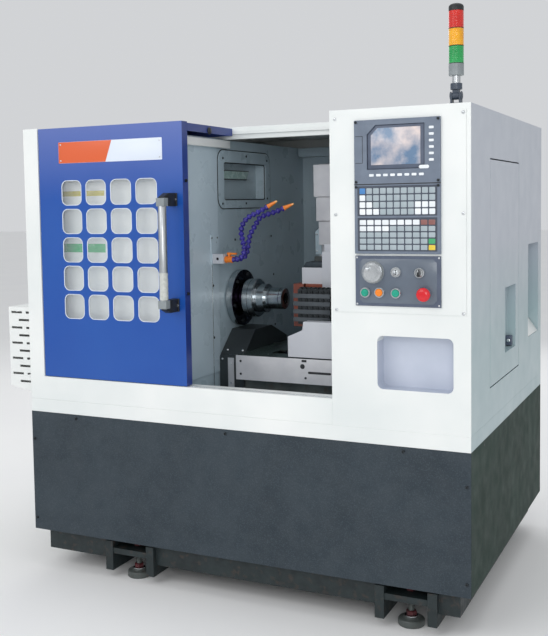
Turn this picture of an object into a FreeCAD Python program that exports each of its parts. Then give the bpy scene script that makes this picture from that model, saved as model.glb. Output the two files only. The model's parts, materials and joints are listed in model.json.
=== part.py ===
"""CNC turning lathe with a sheet-metal cabinet, built as a parametric FreeCAD document.

Cabinet coordinates: X runs to the right from the cabinet's left face, Y runs back from its front face and
Z runs up from the floor, all in millimetres.  Every primitive is placed with these coordinates less half of
the overall width and depth, so the finished part stands on the floor with its box centred on the origin.
"""
import FreeCAD, Part
import math
import os
import re
import Sketcher

SIZES = {
    # cabinet
    "cab_width": 1590, "cab_depth": 1168, "cab_height": 1580, "skin": 3,
    "skirt_bottom": 140, "band_bottom": 573, "band_top": 620, "sill_top": 702, "sill_depth": 60,
    "strip_width": 62, "strip_depth": 51, "lip_depth": 25,
    "control_width": 428, "control_depth": 220,
    "roof_opening": 375, "beam_height": 43,
    # base and feet
    "base_inset": 40, "base_front": 33, "base_bottom": 64, "base_top": 598, "base_wall": 40, "base_deck": 30,
    "foot_left": 395, "foot_right": 1387, "foot_setback": 75, "foot_radius": 41, "stud_radius": 10,
    "gusset_gap": 136, "gusset_thick": 30, "gusset_bottom": 28, "gusset_top": 132,
    "gusset_front": 12, "gusset_length": 178, "foot_plate": 20, "foot_plate_bottom": 88,
    # door
    "door_width": 582, "door_gap": 2, "door_setback": 4, "door_depth": 36, "door_drop": 6,
    "door_roof": 362, "door_flange": 26, "door_travel": 508,
    "window_width": 84, "window_high": 87, "window_corner": 22, "window_pitch_x": 101.5,
    "window_pitch_z": 99, "window_offset": 2.75, "window_bottom": 913, "pane_thick": 3,
    "handle_inset": 36, "handle_bottom": 966, "handle_top": 1331, "handle_radius": 14, "handle_reach": 84,
    "sign_left": 151, "sign_drop": 119, "sign_width": 419, "sign_high": 73,
    # control side
    "panel_inset": 13, "panel_edge": 11, "panel_bottom": 973, "panel_drop": 19,
    "unit_left": 82, "unit_width": 261, "unit_bottom": 1150, "unit_drop": 35, "unit_proud": 11,
    "desk_bottom": 994, "desk_high": 150, "desk_proud": 8,
    "niche_left": 146, "niche_width": 231, "niche_bottom": 743, "niche_high": 161, "niche_depth": 60,
    "niche_corner": 18,
    "button_radius": 11, "button_fit": 0.4, "stop_radius": 20.5, "wheel_radius": 29,
    # right side
    "service_front": 250, "service_back": 715, "service_bottom": 718, "service_drop": 148,
    "service_gap": 4, "hinge_inset": 12, "hinge_radius": 3, "leaf_depth": 20,
    "grip_inset": 228, "grip_rise": 79, "grip_width": 178, "grip_high": 217, "grip_depth": 30,
    "recess_front": 892, "recess_back": 1105, "recess_bottom": 795, "recess_top": 1140, "recess_depth": 40,
    # left side
    "guard_reach": 192, "guard_front": 120, "guard_length": 600, "guard_top": 932, "guard_bottom": 597,
    "guard_drop": 35, "slot_length": 50, "slot_high": 8, "slot_pitch": 29,
    # chamber
    "wall_left": 602, "chamber_margin": 190, "chamber_rear": 53, "chamber_drop": 40, "return_depth": 322,
    "hatch_front": 330, "hatch_back": 770, "hatch_high": 210, "hatch_drop": 80, "hatch_depth": 42,
    # spindle
    "spindle_y": 474, "spindle_z": 957, "bore_radius": 23, "journal_radius": 50, "neck_radius": 55,
    "bearing_radius": 80, "cover_radius": 104, "cover_thick": 26, "pulley_radius": 95, "pulley_left": 230,
    "pulley_width": 70, "headstock_back": 640, "motor_z": 800, "motor_size": 200, "motor_pulley_radius": 55,
    "shaft_radius": 19, "belt_thick": 5, "run_gap": 0.3, "fit": 0.05,
    # bed and slides
    "bed_left": 640, "bed_gap": 10, "bed_front": 330, "bed_back": 830, "bed_top": 716,
    "rail_width": 35, "rail_high": 25, "rail_front_y": 380, "rail_back_y": 780, "screw_y": 580,
    "screw_z": 745, "screw_radius": 16, "cover_front": 250, "cover_top": 776, "slot_left": 800,
    "carriage_left": 910, "carriage_width": 285, "deck_thick": 35, "deck_bottom": 780,
    "cross_rail_high": 20, "cross_rail_width": 24, "column_left": 862, "column_front": 650,
    "column_width": 288, "column_depth": 130, "column_drop": 130, "slide_thick": 30,
    "tool_left": 844, "tool_bottom": 861, "tool_high": 154,
    # coolant
    "block_size": 45, "block_z": 1095, "hose_radius": 8,
    # signal tower
    "tower_x": 54, "tower_y": 50, "tower_pivot": 26, "lens_radius": 21.7,
}

# Places that follow from the sizes, used by name in every expression.
PLACES = {
    "door_top": "cab_height - door_drop",
    "window_left": "(door_width - 3 * window_pitch_x - window_width) / 2 - window_offset",
    "sign_bottom": "door_top - sign_drop",
    "panel_top": "cab_height - panel_drop",
    "unit_top": "cab_height - unit_drop",
    "service_top": "cab_height - service_drop",
    "chamber_right": "cab_width - chamber_margin",
    "chamber_back": "cab_depth - chamber_rear",
    "chamber_top": "cab_height - chamber_drop",
    "hatch_top": "cab_height - hatch_drop",
    "hatch_bottom": "hatch_top - hatch_high",
    "bed_right": "chamber_right - bed_gap",
    "motor_y": "headstock_back + (cab_depth - headstock_back) * 5 / 12",
    "column_top": "cab_height - column_drop",
}

doc = FreeCAD.newDocument("turning_lathe")
sheet = doc.addObject("Spreadsheet::Sheet", "sizes")
for row, (alias, number) in enumerate(SIZES.items(), start=1):
    sheet.set(f"A{row}", alias)
    sheet.set(f"B{row}", str(number))
    sheet.setAlias(f"B{row}", alias)
doc.recompute()

WORD = re.compile(r"\b[a-z][a-z_]*\b")
HALF_WIDTH = "((cab_width - guard_reach) / 2)"
HALF_DEPTH = "((cab_depth - handle_reach) / 2)"
V = FreeCAD.Vector
TURN_TO = {"Z": (V(0, 0, 1), 0), "X": (V(0, 1, 0), 90), "Y": (V(1, 0, 0), -90)}
SPIN_TO = {"X": (V(0, 0, 1), 0), "Y": (V(0, 0, 1), 90), "-Y": (V(0, 0, 1), -90), "Z": (V(0, 1, 0), -90)}
NODES = []


def bound(text):
    """An expression with each place spelled out and each size's name replaced by its cell in the sheet."""
    def spelled(word):
        if word[0] in PLACES:
            return f"({bound(PLACES[word[0]])})"
        return f"sizes.{word[0]}" if word[0] in SIZES else word[0]
    return WORD.sub(spelled, str(text))


def value(text):
    """The number that an expression has now."""
    return float(sheet.evalExpression(bound(text)))


def place(obj, x, y, z, turn=(V(0, 0, 1), 0)):
    """Bind an object's place to cabinet coordinates, centred on the part's origin."""
    obj.Placement = FreeCAD.Placement(V(0, 0, 0), FreeCAD.Rotation(*turn))
    obj.setExpression("Placement.Base.x", bound(f"({x}) - {HALF_WIDTH}"))
    obj.setExpression("Placement.Base.y", bound(f"({y}) - {HALF_DEPTH}"))
    obj.setExpression("Placement.Base.z", bound(z))
    return obj


def box(x, y, z, length, width, height):
    """A block from its low corner and its sizes along X, Y and Z."""
    obj = doc.addObject("Part::Box", "block")
    for name, size in (("Length", length), ("Width", width), ("Height", height)):
        obj.setExpression(name, bound(size))
    return place(obj, x, y, z)


def rod(axis, x, y, z, radius, length):
    """A cylinder that starts at a point and runs along an axis."""
    obj = doc.addObject("Part::Cylinder", "rod")
    obj.setExpression("Radius", bound(radius))
    obj.setExpression("Height", bound(length))
    return place(obj, x, y, z, TURN_TO[axis])


def hexagon(x, y, z, circumradius, height):
    """A nut's outside, standing on a point."""
    obj = doc.addObject("Part::Prism", "hexagon")
    obj.Polygon = 6
    obj.setExpression("Circumradius", bound(circumradius))
    obj.setExpression("Height", bound(height))
    return place(obj, x, y, z)


def cut(base, *tools):
    """The base less every tool."""
    obj = doc.addObject("Part::Cut", "cut")
    obj.Base = base
    obj.Tool = tools[0] if len(tools) == 1 else together(*tools)
    return obj


def fuse(*shapes):
    """One solid from shapes that touch or overlap."""
    obj = doc.addObject("Part::MultiFuse", "fuse")
    obj.Shapes = list(shapes)
    obj.Refine = True
    return obj


def together(*shapes):
    """Separate solids in one object."""
    obj = doc.addObject("Part::Compound", "together")
    obj.Links = list(shapes)
    return obj


def pan(x, y, z, length, width, height, open_low=(0, 0, 0), open_high=(0, 0, 0)):
    """A folded tray: a block hollowed by the skin's thickness, with its open sides named for each axis."""
    outer = box(x, y, z, length, width, height)
    corner, size = [], []
    for low, high, start, span in zip(open_low, open_high, (x, y, z), (length, width, height)):
        first = "-1" if low else "skin"
        last = "-1" if high else "skin"
        corner.append(f"({start}) + ({first})")
        size.append(f"({span}) - ({first}) - ({last})")
    return cut(outer, box(*corner, *size))


def datum(body, plane):
    """A body's own origin plane."""
    return next(item for item in body.Origin.OriginFeatures if item.Role == f"{plane}_Plane")


def sketch_on(body, plane):
    """An empty sketch on one of a body's origin planes."""
    sketch = body.newObject("Sketcher::SketchObject", "sketch")
    sketch.AttachmentSupport = [(datum(body, plane), "")]
    sketch.MapMode = "FlatFace"
    return sketch


def pin_point(sketch, line, end, x, y):
    """Tie one end of a sketch line to the sheet."""
    for kind, text in (("DistanceX", x), ("DistanceY", y)):
        index = sketch.addConstraint(Sketcher.Constraint(kind, -1, 1, line, end, value(text)))
        sketch.setExpression(f"Constraints[{index}]", bound(text))


def polygon(sketch, points):
    """A closed outline with straight sides."""
    count = len(points)
    spots = [V(value(x), value(y), 0) for x, y in points]
    for index in range(count):
        sketch.addGeometry(Part.LineSegment(spots[index], spots[(index + 1) % count]), False)
    for index in range(count):
        sketch.addConstraint(Sketcher.Constraint("Coincident", index, 2, (index + 1) % count, 1))
    for index, (x, y) in enumerate(points):
        pin_point(sketch, index, 1, x, y)


def rounded(sketch, x, y, width, height, radius):
    """A rectangle with four round corners."""
    xs = [x, f"{x} + {radius}", f"{x} + {width} - {radius}", f"{x} + {width}"]
    ys = [y, f"{y} + {radius}", f"{y} + {height} - {radius}", f"{y} + {height}"]
    sides = [((1, 0), (2, 0)), ((3, 1), (3, 2)), ((2, 3), (1, 3)), ((0, 2), (0, 1))]
    centres = [(2, 1), (2, 2), (1, 2), (1, 1)]
    first = sketch.GeometryCount
    for start, stop in sides:
        ends = [V(value(xs[i]), value(ys[j]), 0) for i, j in (start, stop)]
        sketch.addGeometry(Part.LineSegment(*ends), False)
    for index, (i, j) in enumerate(centres):
        circle = Part.Circle(V(value(xs[i]), value(ys[j]), 0), V(0, 0, 1), value(radius))
        low = math.radians(90 * index - 90)
        sketch.addGeometry(Part.ArcOfCircle(circle, low, low + math.pi / 2), False)
    for index, (start, stop) in enumerate(sides):
        line, arc, after = first + index, first + 4 + index, first + (index + 1) % 4
        sketch.addConstraint(Sketcher.Constraint("Coincident", line, 2, arc, 1))
        sketch.addConstraint(Sketcher.Constraint("Coincident", arc, 2, after, 1))
        pin_point(sketch, line, 1, xs[start[0]], ys[start[1]])
        pin_point(sketch, line, 2, xs[stop[0]], ys[stop[1]])
        corner = sketch.addConstraint(Sketcher.Constraint("Radius", arc, value(radius)))
        sketch.setExpression(f"Constraints[{corner}]", bound(radius))


def padded(body, sketch, length, reverse):
    """A pad of a sketch, away from its plane."""
    pad = body.newObject("PartDesign::Pad", "pad")
    pad.Profile = sketch
    pad.setExpression("Length", bound(length))
    pad.Reversed = reverse
    return pad


def profile_body(plane, points, length, at):
    """A straight-sided profile given a length: X for a YZ profile, Y for an XZ one, Z for an XY one."""
    body = doc.addObject("PartDesign::Body", "body")
    sketch = sketch_on(body, plane)
    polygon(sketch, points)
    padded(body, sketch, length, plane == "XZ")
    return place(body, *at)


def rounded_body(plane, x, y, width, height, radius, length, at):
    """A slab with round corners, used for plates and for the openings cut in them."""
    body = doc.addObject("PartDesign::Body", "body")
    sketch = sketch_on(body, plane)
    rounded(sketch, x, y, width, height, radius)
    padded(body, sketch, length, plane == "XZ")
    return place(body, *at)


def turned(axis, at, points):
    """A turned piece: points are distance along the axis and radius, revolved about the axis."""
    body = doc.addObject("PartDesign::Body", "turned")
    sketch = sketch_on(body, "XY")
    polygon(sketch, points)
    spin = body.newObject("PartDesign::Revolution", "revolution")
    spin.Profile = sketch
    spin.ReferenceAxis = (sketch, ["H_Axis"])
    return place(body, *at, SPIN_TO[axis])


def node(name, obj):
    """Name an object as one of the part's pieces."""
    obj.Label = name
    NODES.append((name, obj))
    return obj


def from_right(distance):
    """An X place measured inwards from the cabinet's right face."""
    return f"(cab_width - ({distance}))"


FEET = [(x, front) for x in ("foot_left", "foot_right") for front in (True, False)]


def foot_y(front, distance, span="0"):
    """A Y place measured from the front face, or the same from the back for a rear foot."""
    return f"({distance})" if front else f"(cab_depth - ({distance}) - ({span}))"


# ------------------------------------------------------------------ feet and base
def levelling_feet():
    """Four turned pads with studs, each clamped to its bracket plate by two nuts."""
    feet = []
    for x, front in FEET:
        y = foot_y(front, "foot_setback")
        pad = turned("Z", (x, y, "0"), [
            ("0", "0"), ("0", "foot_radius"), ("12", "foot_radius"), ("24", "stud_radius + 8"),
            ("24", "stud_radius"), ("gusset_top - 4", "stud_radius"), ("gusset_top - 4", "0")])
        lower = hexagon(x, y, "foot_plate_bottom - 14", "stud_radius + 7", "14")
        upper = hexagon(x, y, "foot_plate_bottom + foot_plate", "stud_radius + 7", "14")
        feet.append(fuse(pad, lower, upper))
    return together(*feet)


def machine_base():
    """Welded base: hollow box open below, four foot pockets with gussets and drilled plates."""
    inner_w = "cab_width - 2 * base_inset"
    inner_d = "cab_depth - 2 * base_front"
    shell = cut(
        box("base_inset", "base_front", "base_bottom", inner_w, inner_d, "base_top - base_bottom"),
        box("base_inset + base_wall", "base_front + base_wall", "base_bottom - 1",
            f"{inner_w} - 2 * base_wall", f"{inner_d} - 2 * base_wall",
            "base_top - base_bottom - base_deck + 1"))
    reach = "gusset_gap / 2 + gusset_thick"
    solids, pockets, brackets, holes = [shell], [], [], []
    for x, front in FEET:
        depth = "gusset_front + gusset_length - base_front"
        left, pocket_high = f"{x} - ({reach})", "gusset_top - base_bottom + 1"
        solids.append(box(f"{left} - 32", foot_y(front, "base_front", f"{depth} + 40"), "base_bottom",
                          f"2 * ({reach}) + 64", f"{depth} + 40", f"{pocket_high} + 39"))
        pockets.append(box(left, foot_y(front, "base_front - 1", f"{depth} + 1"), "base_bottom - 1",
                           f"2 * ({reach})", f"{depth} + 1", pocket_high))
        for side in (left, f"{x} + gusset_gap / 2"):
            brackets.append(box(side, foot_y(front, "gusset_front", "gusset_length"), "gusset_bottom",
                                "gusset_thick", "gusset_length", "gusset_top - gusset_bottom"))
        brackets.append(box(f"{x} - gusset_gap / 2", foot_y(front, "gusset_front + 4", "gusset_length - 4"),
                            "foot_plate_bottom", "gusset_gap", "gusset_length - 4", "foot_plate"))
        holes.append(rod("Z", x, foot_y(front, "foot_setback"), "foot_plate_bottom - 1",
                         "stud_radius + 1", "foot_plate + 2"))
    body = cut(fuse(*solids), *pockets)
    return cut(fuse(body, *brackets), *holes)


def face_skirts():
    """Front and rear dark sheets, each with a lip folded back along its lower edge."""
    sheets = []
    for y, lip_y in (("0", "skin"), ("cab_depth - skin", "cab_depth - skin - lip_depth")):
        face = box("0", y, "skirt_bottom", "cab_width", "skin", "band_bottom - skirt_bottom")
        lip = box("lip_depth + skin", lip_y, "skirt_bottom", "cab_width - 2 * (lip_depth + skin)",
                  "lip_depth", "skin")
        sheets.append(fuse(face, lip))
    return together(*sheets)


def side_skirts():
    """Left and right dark sheets, each with its lower lip."""
    sides = []
    length = "cab_depth - 2 * skin"
    for x, lip_x in (("0", "skin"), ("cab_width - skin", "cab_width - skin - lip_depth")):
        face = box(x, "skin", "skirt_bottom", "skin", length, "band_bottom - skirt_bottom")
        lip = box(lip_x, "skin", "skirt_bottom", "lip_depth", length, "skin")
        sides.append(fuse(face, lip))
    return together(*sides)


def base_band():
    """White ring round the base that carries the cabinet."""
    return cut(
        box("0", "0", "band_bottom", "cab_width", "cab_depth", "band_top - band_bottom"),
        box("base_inset", "base_front", "band_bottom - 1", "cab_width - 2 * base_inset",
            "cab_depth - 2 * base_front", "band_top - band_bottom + 2"))


# ------------------------------------------------------------------ cabinet
def front_frame():
    """Left strip and sill channel of the front, one folded weldment."""
    strip = pan("0", "0", "band_top", "strip_width", "strip_depth", "cab_height - band_top",
                (0, 0, 1), (0, 1, 0))
    sill = pan("strip_width", "0", "band_top", "cab_width - control_width - strip_width", "sill_depth",
               "sill_top - band_top", (1, 0, 1), (1, 0, 0))
    return fuse(strip, sill)


def fixed_front_panel():
    """Pale sheet behind the door: face, top flange and the return that covers the wall's front edge."""
    width = "wall_left + skin - strip_width"
    face = box("strip_width", "strip_depth - skin", "sill_top", width, "skin", "chamber_top - sill_top")
    top = box("strip_width", "strip_depth", "chamber_top - skin", width,
              "roof_opening - skin - strip_depth", "skin")
    side = box("wall_left", "strip_depth", "sill_top", "skin", "return_depth - strip_depth",
               "chamber_top - sill_top")
    return fuse(face, top, side)


def control_cabinet():
    """Front right compartment with the opening for the access panel and a round-cornered niche."""
    left = from_right("control_width")
    high = "cab_height - band_top"
    face = box(left, "0", "band_top", "control_width", "skin", high)
    side = box(left, "skin", "band_top", "skin", "control_depth - skin", f"{high} - skin")
    back = box(f"{left} + skin", "control_depth - skin", "band_top", "control_width - 2 * skin", "skin",
               f"{high} - skin")
    niche_x = f"{left} + niche_left"
    pocket = box(f"{niche_x} - skin", "skin", "niche_bottom - skin", "niche_width + 2 * skin",
                 "niche_depth", "niche_high + 2 * skin")
    mouth = rounded_body("XZ", "0", "0", "niche_width", "niche_high", "niche_corner", "niche_depth + 1",
                         (niche_x, "-1", "niche_bottom"))
    window = box(f"{left} + panel_edge + 12", "-1", "panel_bottom + 12",
                 "control_width - panel_edge - panel_inset - 24", "skin + 2", "panel_top - panel_bottom - 24")
    return cut(fuse(face, side, back, pocket), mouth, window, *panel_screw_holes())


def panel_screw_spots():
    """Centres of the access panel's screws: two columns of three."""
    left, right = from_right("control_width - panel_edge - 8"), from_right("panel_inset + 8")
    heights = ["panel_bottom + 6", "(panel_bottom + panel_top) / 2", "panel_top - 8"]
    return [(x, z) for x in (left, right) for z in heights]


def panel_screw_holes():
    """Clearance holes for the access panel's screws."""
    return [rod("Y", x, "-skin - 1", z, "2.6", "2 * skin + 2") for x, z in panel_screw_spots()]


def control_panel():
    """Access panel plate, with openings for the controller and the operator panel."""
    left = from_right("control_width - panel_edge")
    plate = box(left, "-skin", "panel_bottom", "control_width - panel_edge - panel_inset", "skin",
                "panel_top - panel_bottom")
    unit = box(from_right("control_width - unit_left"), "-skin - 1", "unit_bottom", "unit_width",
               "skin + 2", "unit_top - unit_bottom")
    desk = box(from_right("control_width - unit_left"), "-skin - 1", "desk_bottom", "unit_width",
               "skin + 2", "desk_high")
    return cut(plate, unit, desk, *panel_screw_holes())


def controller():
    """Screen and keypad housing: screen recess above, two key fields below."""
    x = from_right("control_width - unit_left")
    body = box(x, "-unit_proud", "unit_bottom", "unit_width", "unit_proud + 60", "unit_top - unit_bottom")
    screen = box(f"{x} + 40", "-unit_proud - 1", "unit_top - 146", "174", "7", "130")
    keys = box(f"{x} + 10", "-unit_proud - 1", "unit_bottom + 112", "unit_width - 20", "3", "88")
    lower = box(f"{x} + 10", "-unit_proud - 1", "unit_bottom + 8", "unit_width - 20", "3", "98")
    return cut(body, screen, keys, lower)


# Places on the operator panel: distance from its left edge, and height.
BUTTONS = {"start_button": ("32", "1034"), "hold_button": ("76", "1035"), "reset_button": ("127", "1034")}
STOP_SPOT = ("214", "1033")
WHEEL_SPOT = ("56", "1095")
KEY_SPOT = ("127", "1096")
SELECTOR_SPOT = ("198", "1095")


def on_desk(distance):
    """An X place measured from the operator panel's left edge."""
    return from_right(f"control_width - unit_left - ({distance})")


def operator_panel():
    """Panel that carries the handwheel, switches and buttons, with their collars and through holes."""
    x = from_right("control_width - unit_left")
    body = box(x, "-desk_proud", "desk_bottom", "unit_width", "desk_proud + 24", "desk_high")
    collars, holes = [], []
    for across, z in list(BUTTONS.values()) + [KEY_SPOT, SELECTOR_SPOT]:
        collars.append(rod("Y", on_desk(across), "-desk_proud - 7", z, "button_radius + 3.5", "7"))
        holes.append(rod("Y", on_desk(across), "-desk_proud - 8", z, "button_radius + button_fit", "60"))
    across, z = STOP_SPOT
    collars.append(rod("Y", on_desk(across), "-desk_proud - 6", z, "16", "6"))
    holes.append(rod("Y", on_desk(across), "-desk_proud - 7", z, "10 + button_fit", "60"))
    across, z = WHEEL_SPOT
    collars.append(rod("Y", on_desk(across), "-desk_proud - 3", z, "wheel_radius + 5", "3"))
    holes.append(rod("Y", on_desk(across), "-desk_proud - 4", z, "6 + fit", "60"))
    return cut(fuse(body, *collars), *holes)


def push_button(name):
    """Round cap on its plunger."""
    across, z = BUTTONS[name]
    return rod("Y", on_desk(across), "-desk_proud - 11", z, "button_radius", "30")


def stop_button():
    """Mushroom head on a stem."""
    across, z = STOP_SPOT
    return turned("Y", (on_desk(across), "-desk_proud - 30", z), [
        ("0", "0"), ("0", "stop_radius - 6"), ("4", "stop_radius - 1"), ("9", "stop_radius"),
        ("15", "stop_radius - 2"), ("16", "10"), ("46", "10"), ("46", "0")])


def handwheel():
    """Pulse generator wheel with a finger knob and its shaft."""
    across, z = WHEEL_SPOT
    wheel = turned("Y", (on_desk(across), "-desk_proud - 20", z), [
        ("0", "0"), ("0", "wheel_radius - 8"), ("3", "wheel_radius - 6"), ("5", "wheel_radius"),
        ("14", "wheel_radius"), ("16", "wheel_radius - 2"), ("16", "6"), ("38", "6"), ("38", "0")])
    knob = rod("Y", f"{on_desk(across)} - 11", "-desk_proud - 32", f"{z} + 11", "5", "14")
    return fuse(wheel, knob)


def key_switch():
    """Lock barrel with its key."""
    across, z = KEY_SPOT
    barrel = rod("Y", on_desk(across), "-desk_proud - 10", z, "button_radius", "30")
    key = box(f"{on_desk(across)} - 1.2", "-desk_proud - 32", f"{z} - 8", "2.4", "22", "16")
    return fuse(barrel, key)


def selector_switch():
    """Rotary selector with a raised finger bar."""
    across, z = SELECTOR_SPOT
    barrel = rod("Y", on_desk(across), "-desk_proud - 10", z, "button_radius", "30")
    bar = box(f"{on_desk(across)} - 3.5", "-desk_proud - 20", f"{z} - 11", "7", "10", "22")
    notch = box(f"{on_desk(across)} - 4", "-desk_proud - 21", f"{z} + 9", "8", "6", "3")
    return fuse(barrel, cut(bar, notch))


def hinge_spot():
    """The service door's pivot in plan."""
    return from_right("hinge_inset"), "service_front + hinge_inset"


def right_side_panel():
    """Right sheet with the service door's opening, its pivot tabs and a rear recess."""
    sheet_x = from_right("skin")
    face = box(sheet_x, "skin", "band_top", "skin", "cab_depth - 2 * skin", "cab_height - band_top")
    opening = box(f"{sheet_x} - 1", "service_front", "service_bottom", "skin + 2",
                  "service_back - service_front", "service_top - service_bottom")
    mouth = rounded_body("YZ", "0", "0", "recess_back - recess_front", "recess_top - recess_bottom", "12",
                         "recess_depth + 1", (from_right("recess_depth"), "recess_front", "recess_bottom"))
    pocket = box(from_right("recess_depth + skin"), "recess_front - skin", "recess_bottom - skin",
                 "recess_depth", "recess_back - recess_front + 2 * skin",
                 "recess_top - recess_bottom + 2 * skin")
    x, y = hinge_spot()
    tabs, holes = [], []
    for z in ("service_bottom - 6", "service_top"):
        tabs.append(box(from_right("hinge_inset + 12"), "service_front - 10", z, "hinge_inset + 12 - skin",
                        "hinge_inset + 22", "6"))
        holes.append(rod("Z", x, y, f"{z} - 1", "hinge_radius + fit", "8"))
    return cut(fuse(cut(fuse(face, pocket), mouth, opening), *tabs), *holes)


def service_door():
    """Hinged leaf: folded tray, square-cornered finger recess and a pin at each end of its front edge."""
    y, z = "service_front + service_gap", "service_bottom + service_gap"
    width = "service_back - service_front - 2 * service_gap"
    high = "service_top - service_bottom - 2 * service_gap"
    leaf = pan(from_right("leaf_depth"), y, z, "leaf_depth", width, high, (1, 0, 0), (0, 0, 0))
    grip_y, grip_z = "service_front + grip_inset", "service_bottom + grip_rise"
    pocket = box(from_right("grip_depth + skin"), f"{grip_y} - skin", f"{grip_z} - skin", "grip_depth",
                 "grip_width + 2 * skin", "grip_high + 2 * skin")
    mouth = box(from_right("grip_depth"), grip_y, grip_z, "grip_depth + 1", "grip_width", "grip_high")
    x, y = hinge_spot()
    pins = []
    for start in (f"{z} - service_gap - 6", f"service_top - service_gap - 2"):
        pins.append(rod("Z", x, y, start, "hinge_radius", "service_gap + 8"))
    bosses = [box(f"{x} - 7", f"{y} - 7", bottom, "16", "14", "12")
              for bottom in (z, "service_top - service_gap - 12")]
    return fuse(cut(fuse(leaf, pocket), mouth), *bosses, *pins)


def left_side_panel():
    """Left sheet with the opening that the louvred guard covers."""
    face = box("0", "strip_depth", "band_top", "skin", "cab_depth - strip_depth - skin",
               "cab_height - band_top")
    opening = box("-1", "guard_front + 30", "band_top + 30", "skin + 2", "guard_length - 60",
                  "guard_top - band_top - 60")
    bar_hole = rod("X", "-1", "spindle_y", "spindle_z", "bore_radius + 22", "skin + 2")
    return cut(face, opening, bar_hole)


def louver_guard():
    """Slotted tray over the spindle's tail, with a sloping floor and staggered slots."""
    outer = profile_body("XZ", [
        ("-guard_reach", "guard_bottom + guard_drop"), ("0", "guard_bottom"), ("0", "guard_top"),
        ("-guard_reach", "guard_top")], "guard_length", ("0", "guard_front", "0"))
    inner = profile_body("XZ", [
        ("skin - guard_reach", "guard_bottom + guard_drop + skin"), ("1", "guard_bottom + skin"),
        ("1", "guard_top - skin"), ("skin - guard_reach", "guard_top - skin")],
        "guard_length - 2 * skin", ("0", "guard_front + skin", "0"))
    slots = []
    for row in range(10):
        z = f"guard_top - 24 - {row} * slot_pitch"
        shift = 34 * (row % 2)
        for column in range(2 if row % 2 == 0 else 1):
            slots.append(box(f"-guard_reach + 12 + {68 * column + shift}", "guard_front - 1", z,
                             "slot_length", "skin + 2", "slot_high"))
        for column in range(7):
            slots.append(box("-guard_reach - 1", f"guard_front + 40 + {72 * column + shift}", z,
                             "skin + 2", "slot_length", "slot_high"))
    return cut(cut(outer, inner), *slots)


def rear_panel():
    """Rear sheet with two banks of vent slots."""
    face = box("0", "cab_depth - skin", "band_top", "cab_width", "skin", "cab_height - band_top")
    slots = [box(x, "cab_depth - skin - 1", f"cab_height - 250 + {22 * row}", "220", "skin + 2", "6")
             for x in ("240", from_right("460")) for row in range(8)]
    return cut(face, *slots)


def roof_panel():
    """Roof sheet round the front opening, with the beam folded down along the opening's edge."""
    z = "cab_height - skin"
    main = box("skin", "roof_opening", z, "cab_width - 2 * skin", "cab_depth - roof_opening - skin", "skin")
    right = box(from_right("control_width"), "skin", z, "control_width - skin", "roof_opening - skin", "skin")
    left = box("skin", "strip_depth", z, "strip_width - 2 * skin", "roof_opening - strip_depth", "skin")
    width = "cab_width - control_width - strip_width"
    beam = box("strip_width", "roof_opening", "cab_height - beam_height", width, "skin",
               "beam_height - skin")
    foot = box("strip_width", "roof_opening + skin", "cab_height - beam_height", width, "20", "skin")
    return fuse(main, right, left, beam, foot)


# ------------------------------------------------------------------ sliding door
def sliding_door():
    """Folded door: windowed face, side and bottom returns, and the roof part that reaches back."""
    x = "strip_width + door_gap"
    z = "sill_top + door_gap"
    high = f"door_top - {z}"
    body = doc.addObject("PartDesign::Body", "door_face")
    outline = sketch_on(body, "XZ")
    polygon(outline, [("0", "0"), ("door_width", "0"), ("door_width", high), ("0", high)])
    padded(body, outline, "skin", True)
    hole = sketch_on(body, "XZ")
    rounded(hole, "window_left", f"window_bottom - ({z})", "window_width", "window_high", "window_corner")
    pocket = body.newObject("PartDesign::Pocket", "window")
    pocket.Profile = hole
    pocket.Type = 1
    pocket.Midplane = True
    pattern = body.newObject("PartDesign::MultiTransform", "windows")
    pattern.Originals = [pocket]
    steps = []
    for axis, pitch, count in (("H_Axis", "window_pitch_x", 4), ("V_Axis", "window_pitch_z", 5)):
        step = body.newObject("PartDesign::LinearPattern", "step")
        step.Direction = (hole, [axis])
        step.setExpression("Length", bound(f"{pitch} * {count - 1}"))
        step.Occurrences = count
        steps.append(step)
    pattern.Transformations = steps
    body.Tip = pattern
    place(body, x, "door_setback", z)
    back = "door_setback + skin"
    right = f"{x} + door_width - skin"
    folds = [
        box(x, back, z, "skin", "door_depth - skin", high),
        box(right, back, z, "skin", "door_depth - skin", high),
        box(x, back, z, "door_width", "10", "skin"),
        box(x, back, "door_top - skin", "door_width", "door_roof - skin", "skin"),
        box(x, back, "door_top - door_flange", "skin", "door_roof - skin", "door_flange"),
        box(right, back, "door_top - door_flange", "skin", "door_roof - skin", "door_flange"),
        box(x, "door_setback + door_roof - skin", "door_top - door_flange", "door_width", "skin",
            "door_flange"),
    ]
    return fuse(body, *folds)


def door_pane():
    """Clear sheet behind the windows."""
    x = "strip_width + door_gap + window_left - 30"
    return box(x, "door_setback + skin", "window_bottom - 30", "3 * window_pitch_x + window_width + 60",
               "pane_thick", "4 * window_pitch_z + window_high + 60")


def door_handle():
    """Tube handle held by two brackets, three separate solids."""
    x = "strip_width + door_gap + door_width - handle_inset"
    y = "handle_radius - handle_reach"
    span = "handle_top - handle_bottom"
    tube = rod("Z", x, y, "handle_bottom + 30", "handle_radius", f"{span} - 60")
    ends = []
    for z in ("handle_bottom", "handle_top - 30"):
        arm = box(f"{x} - 15", f"{y}", z, "30", f"door_setback - ({y})", "30")
        nose = rod("Z", x, y, z, "handle_radius", "30")
        ends.append(fuse(arm, nose))
    return together(tube, *ends)


def sign_plate():
    """Thin blank plate on the door's face."""
    return box("sign_left", "door_setback - 1.5", "sign_bottom", "sign_width", "1.5", "sign_high")


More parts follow.
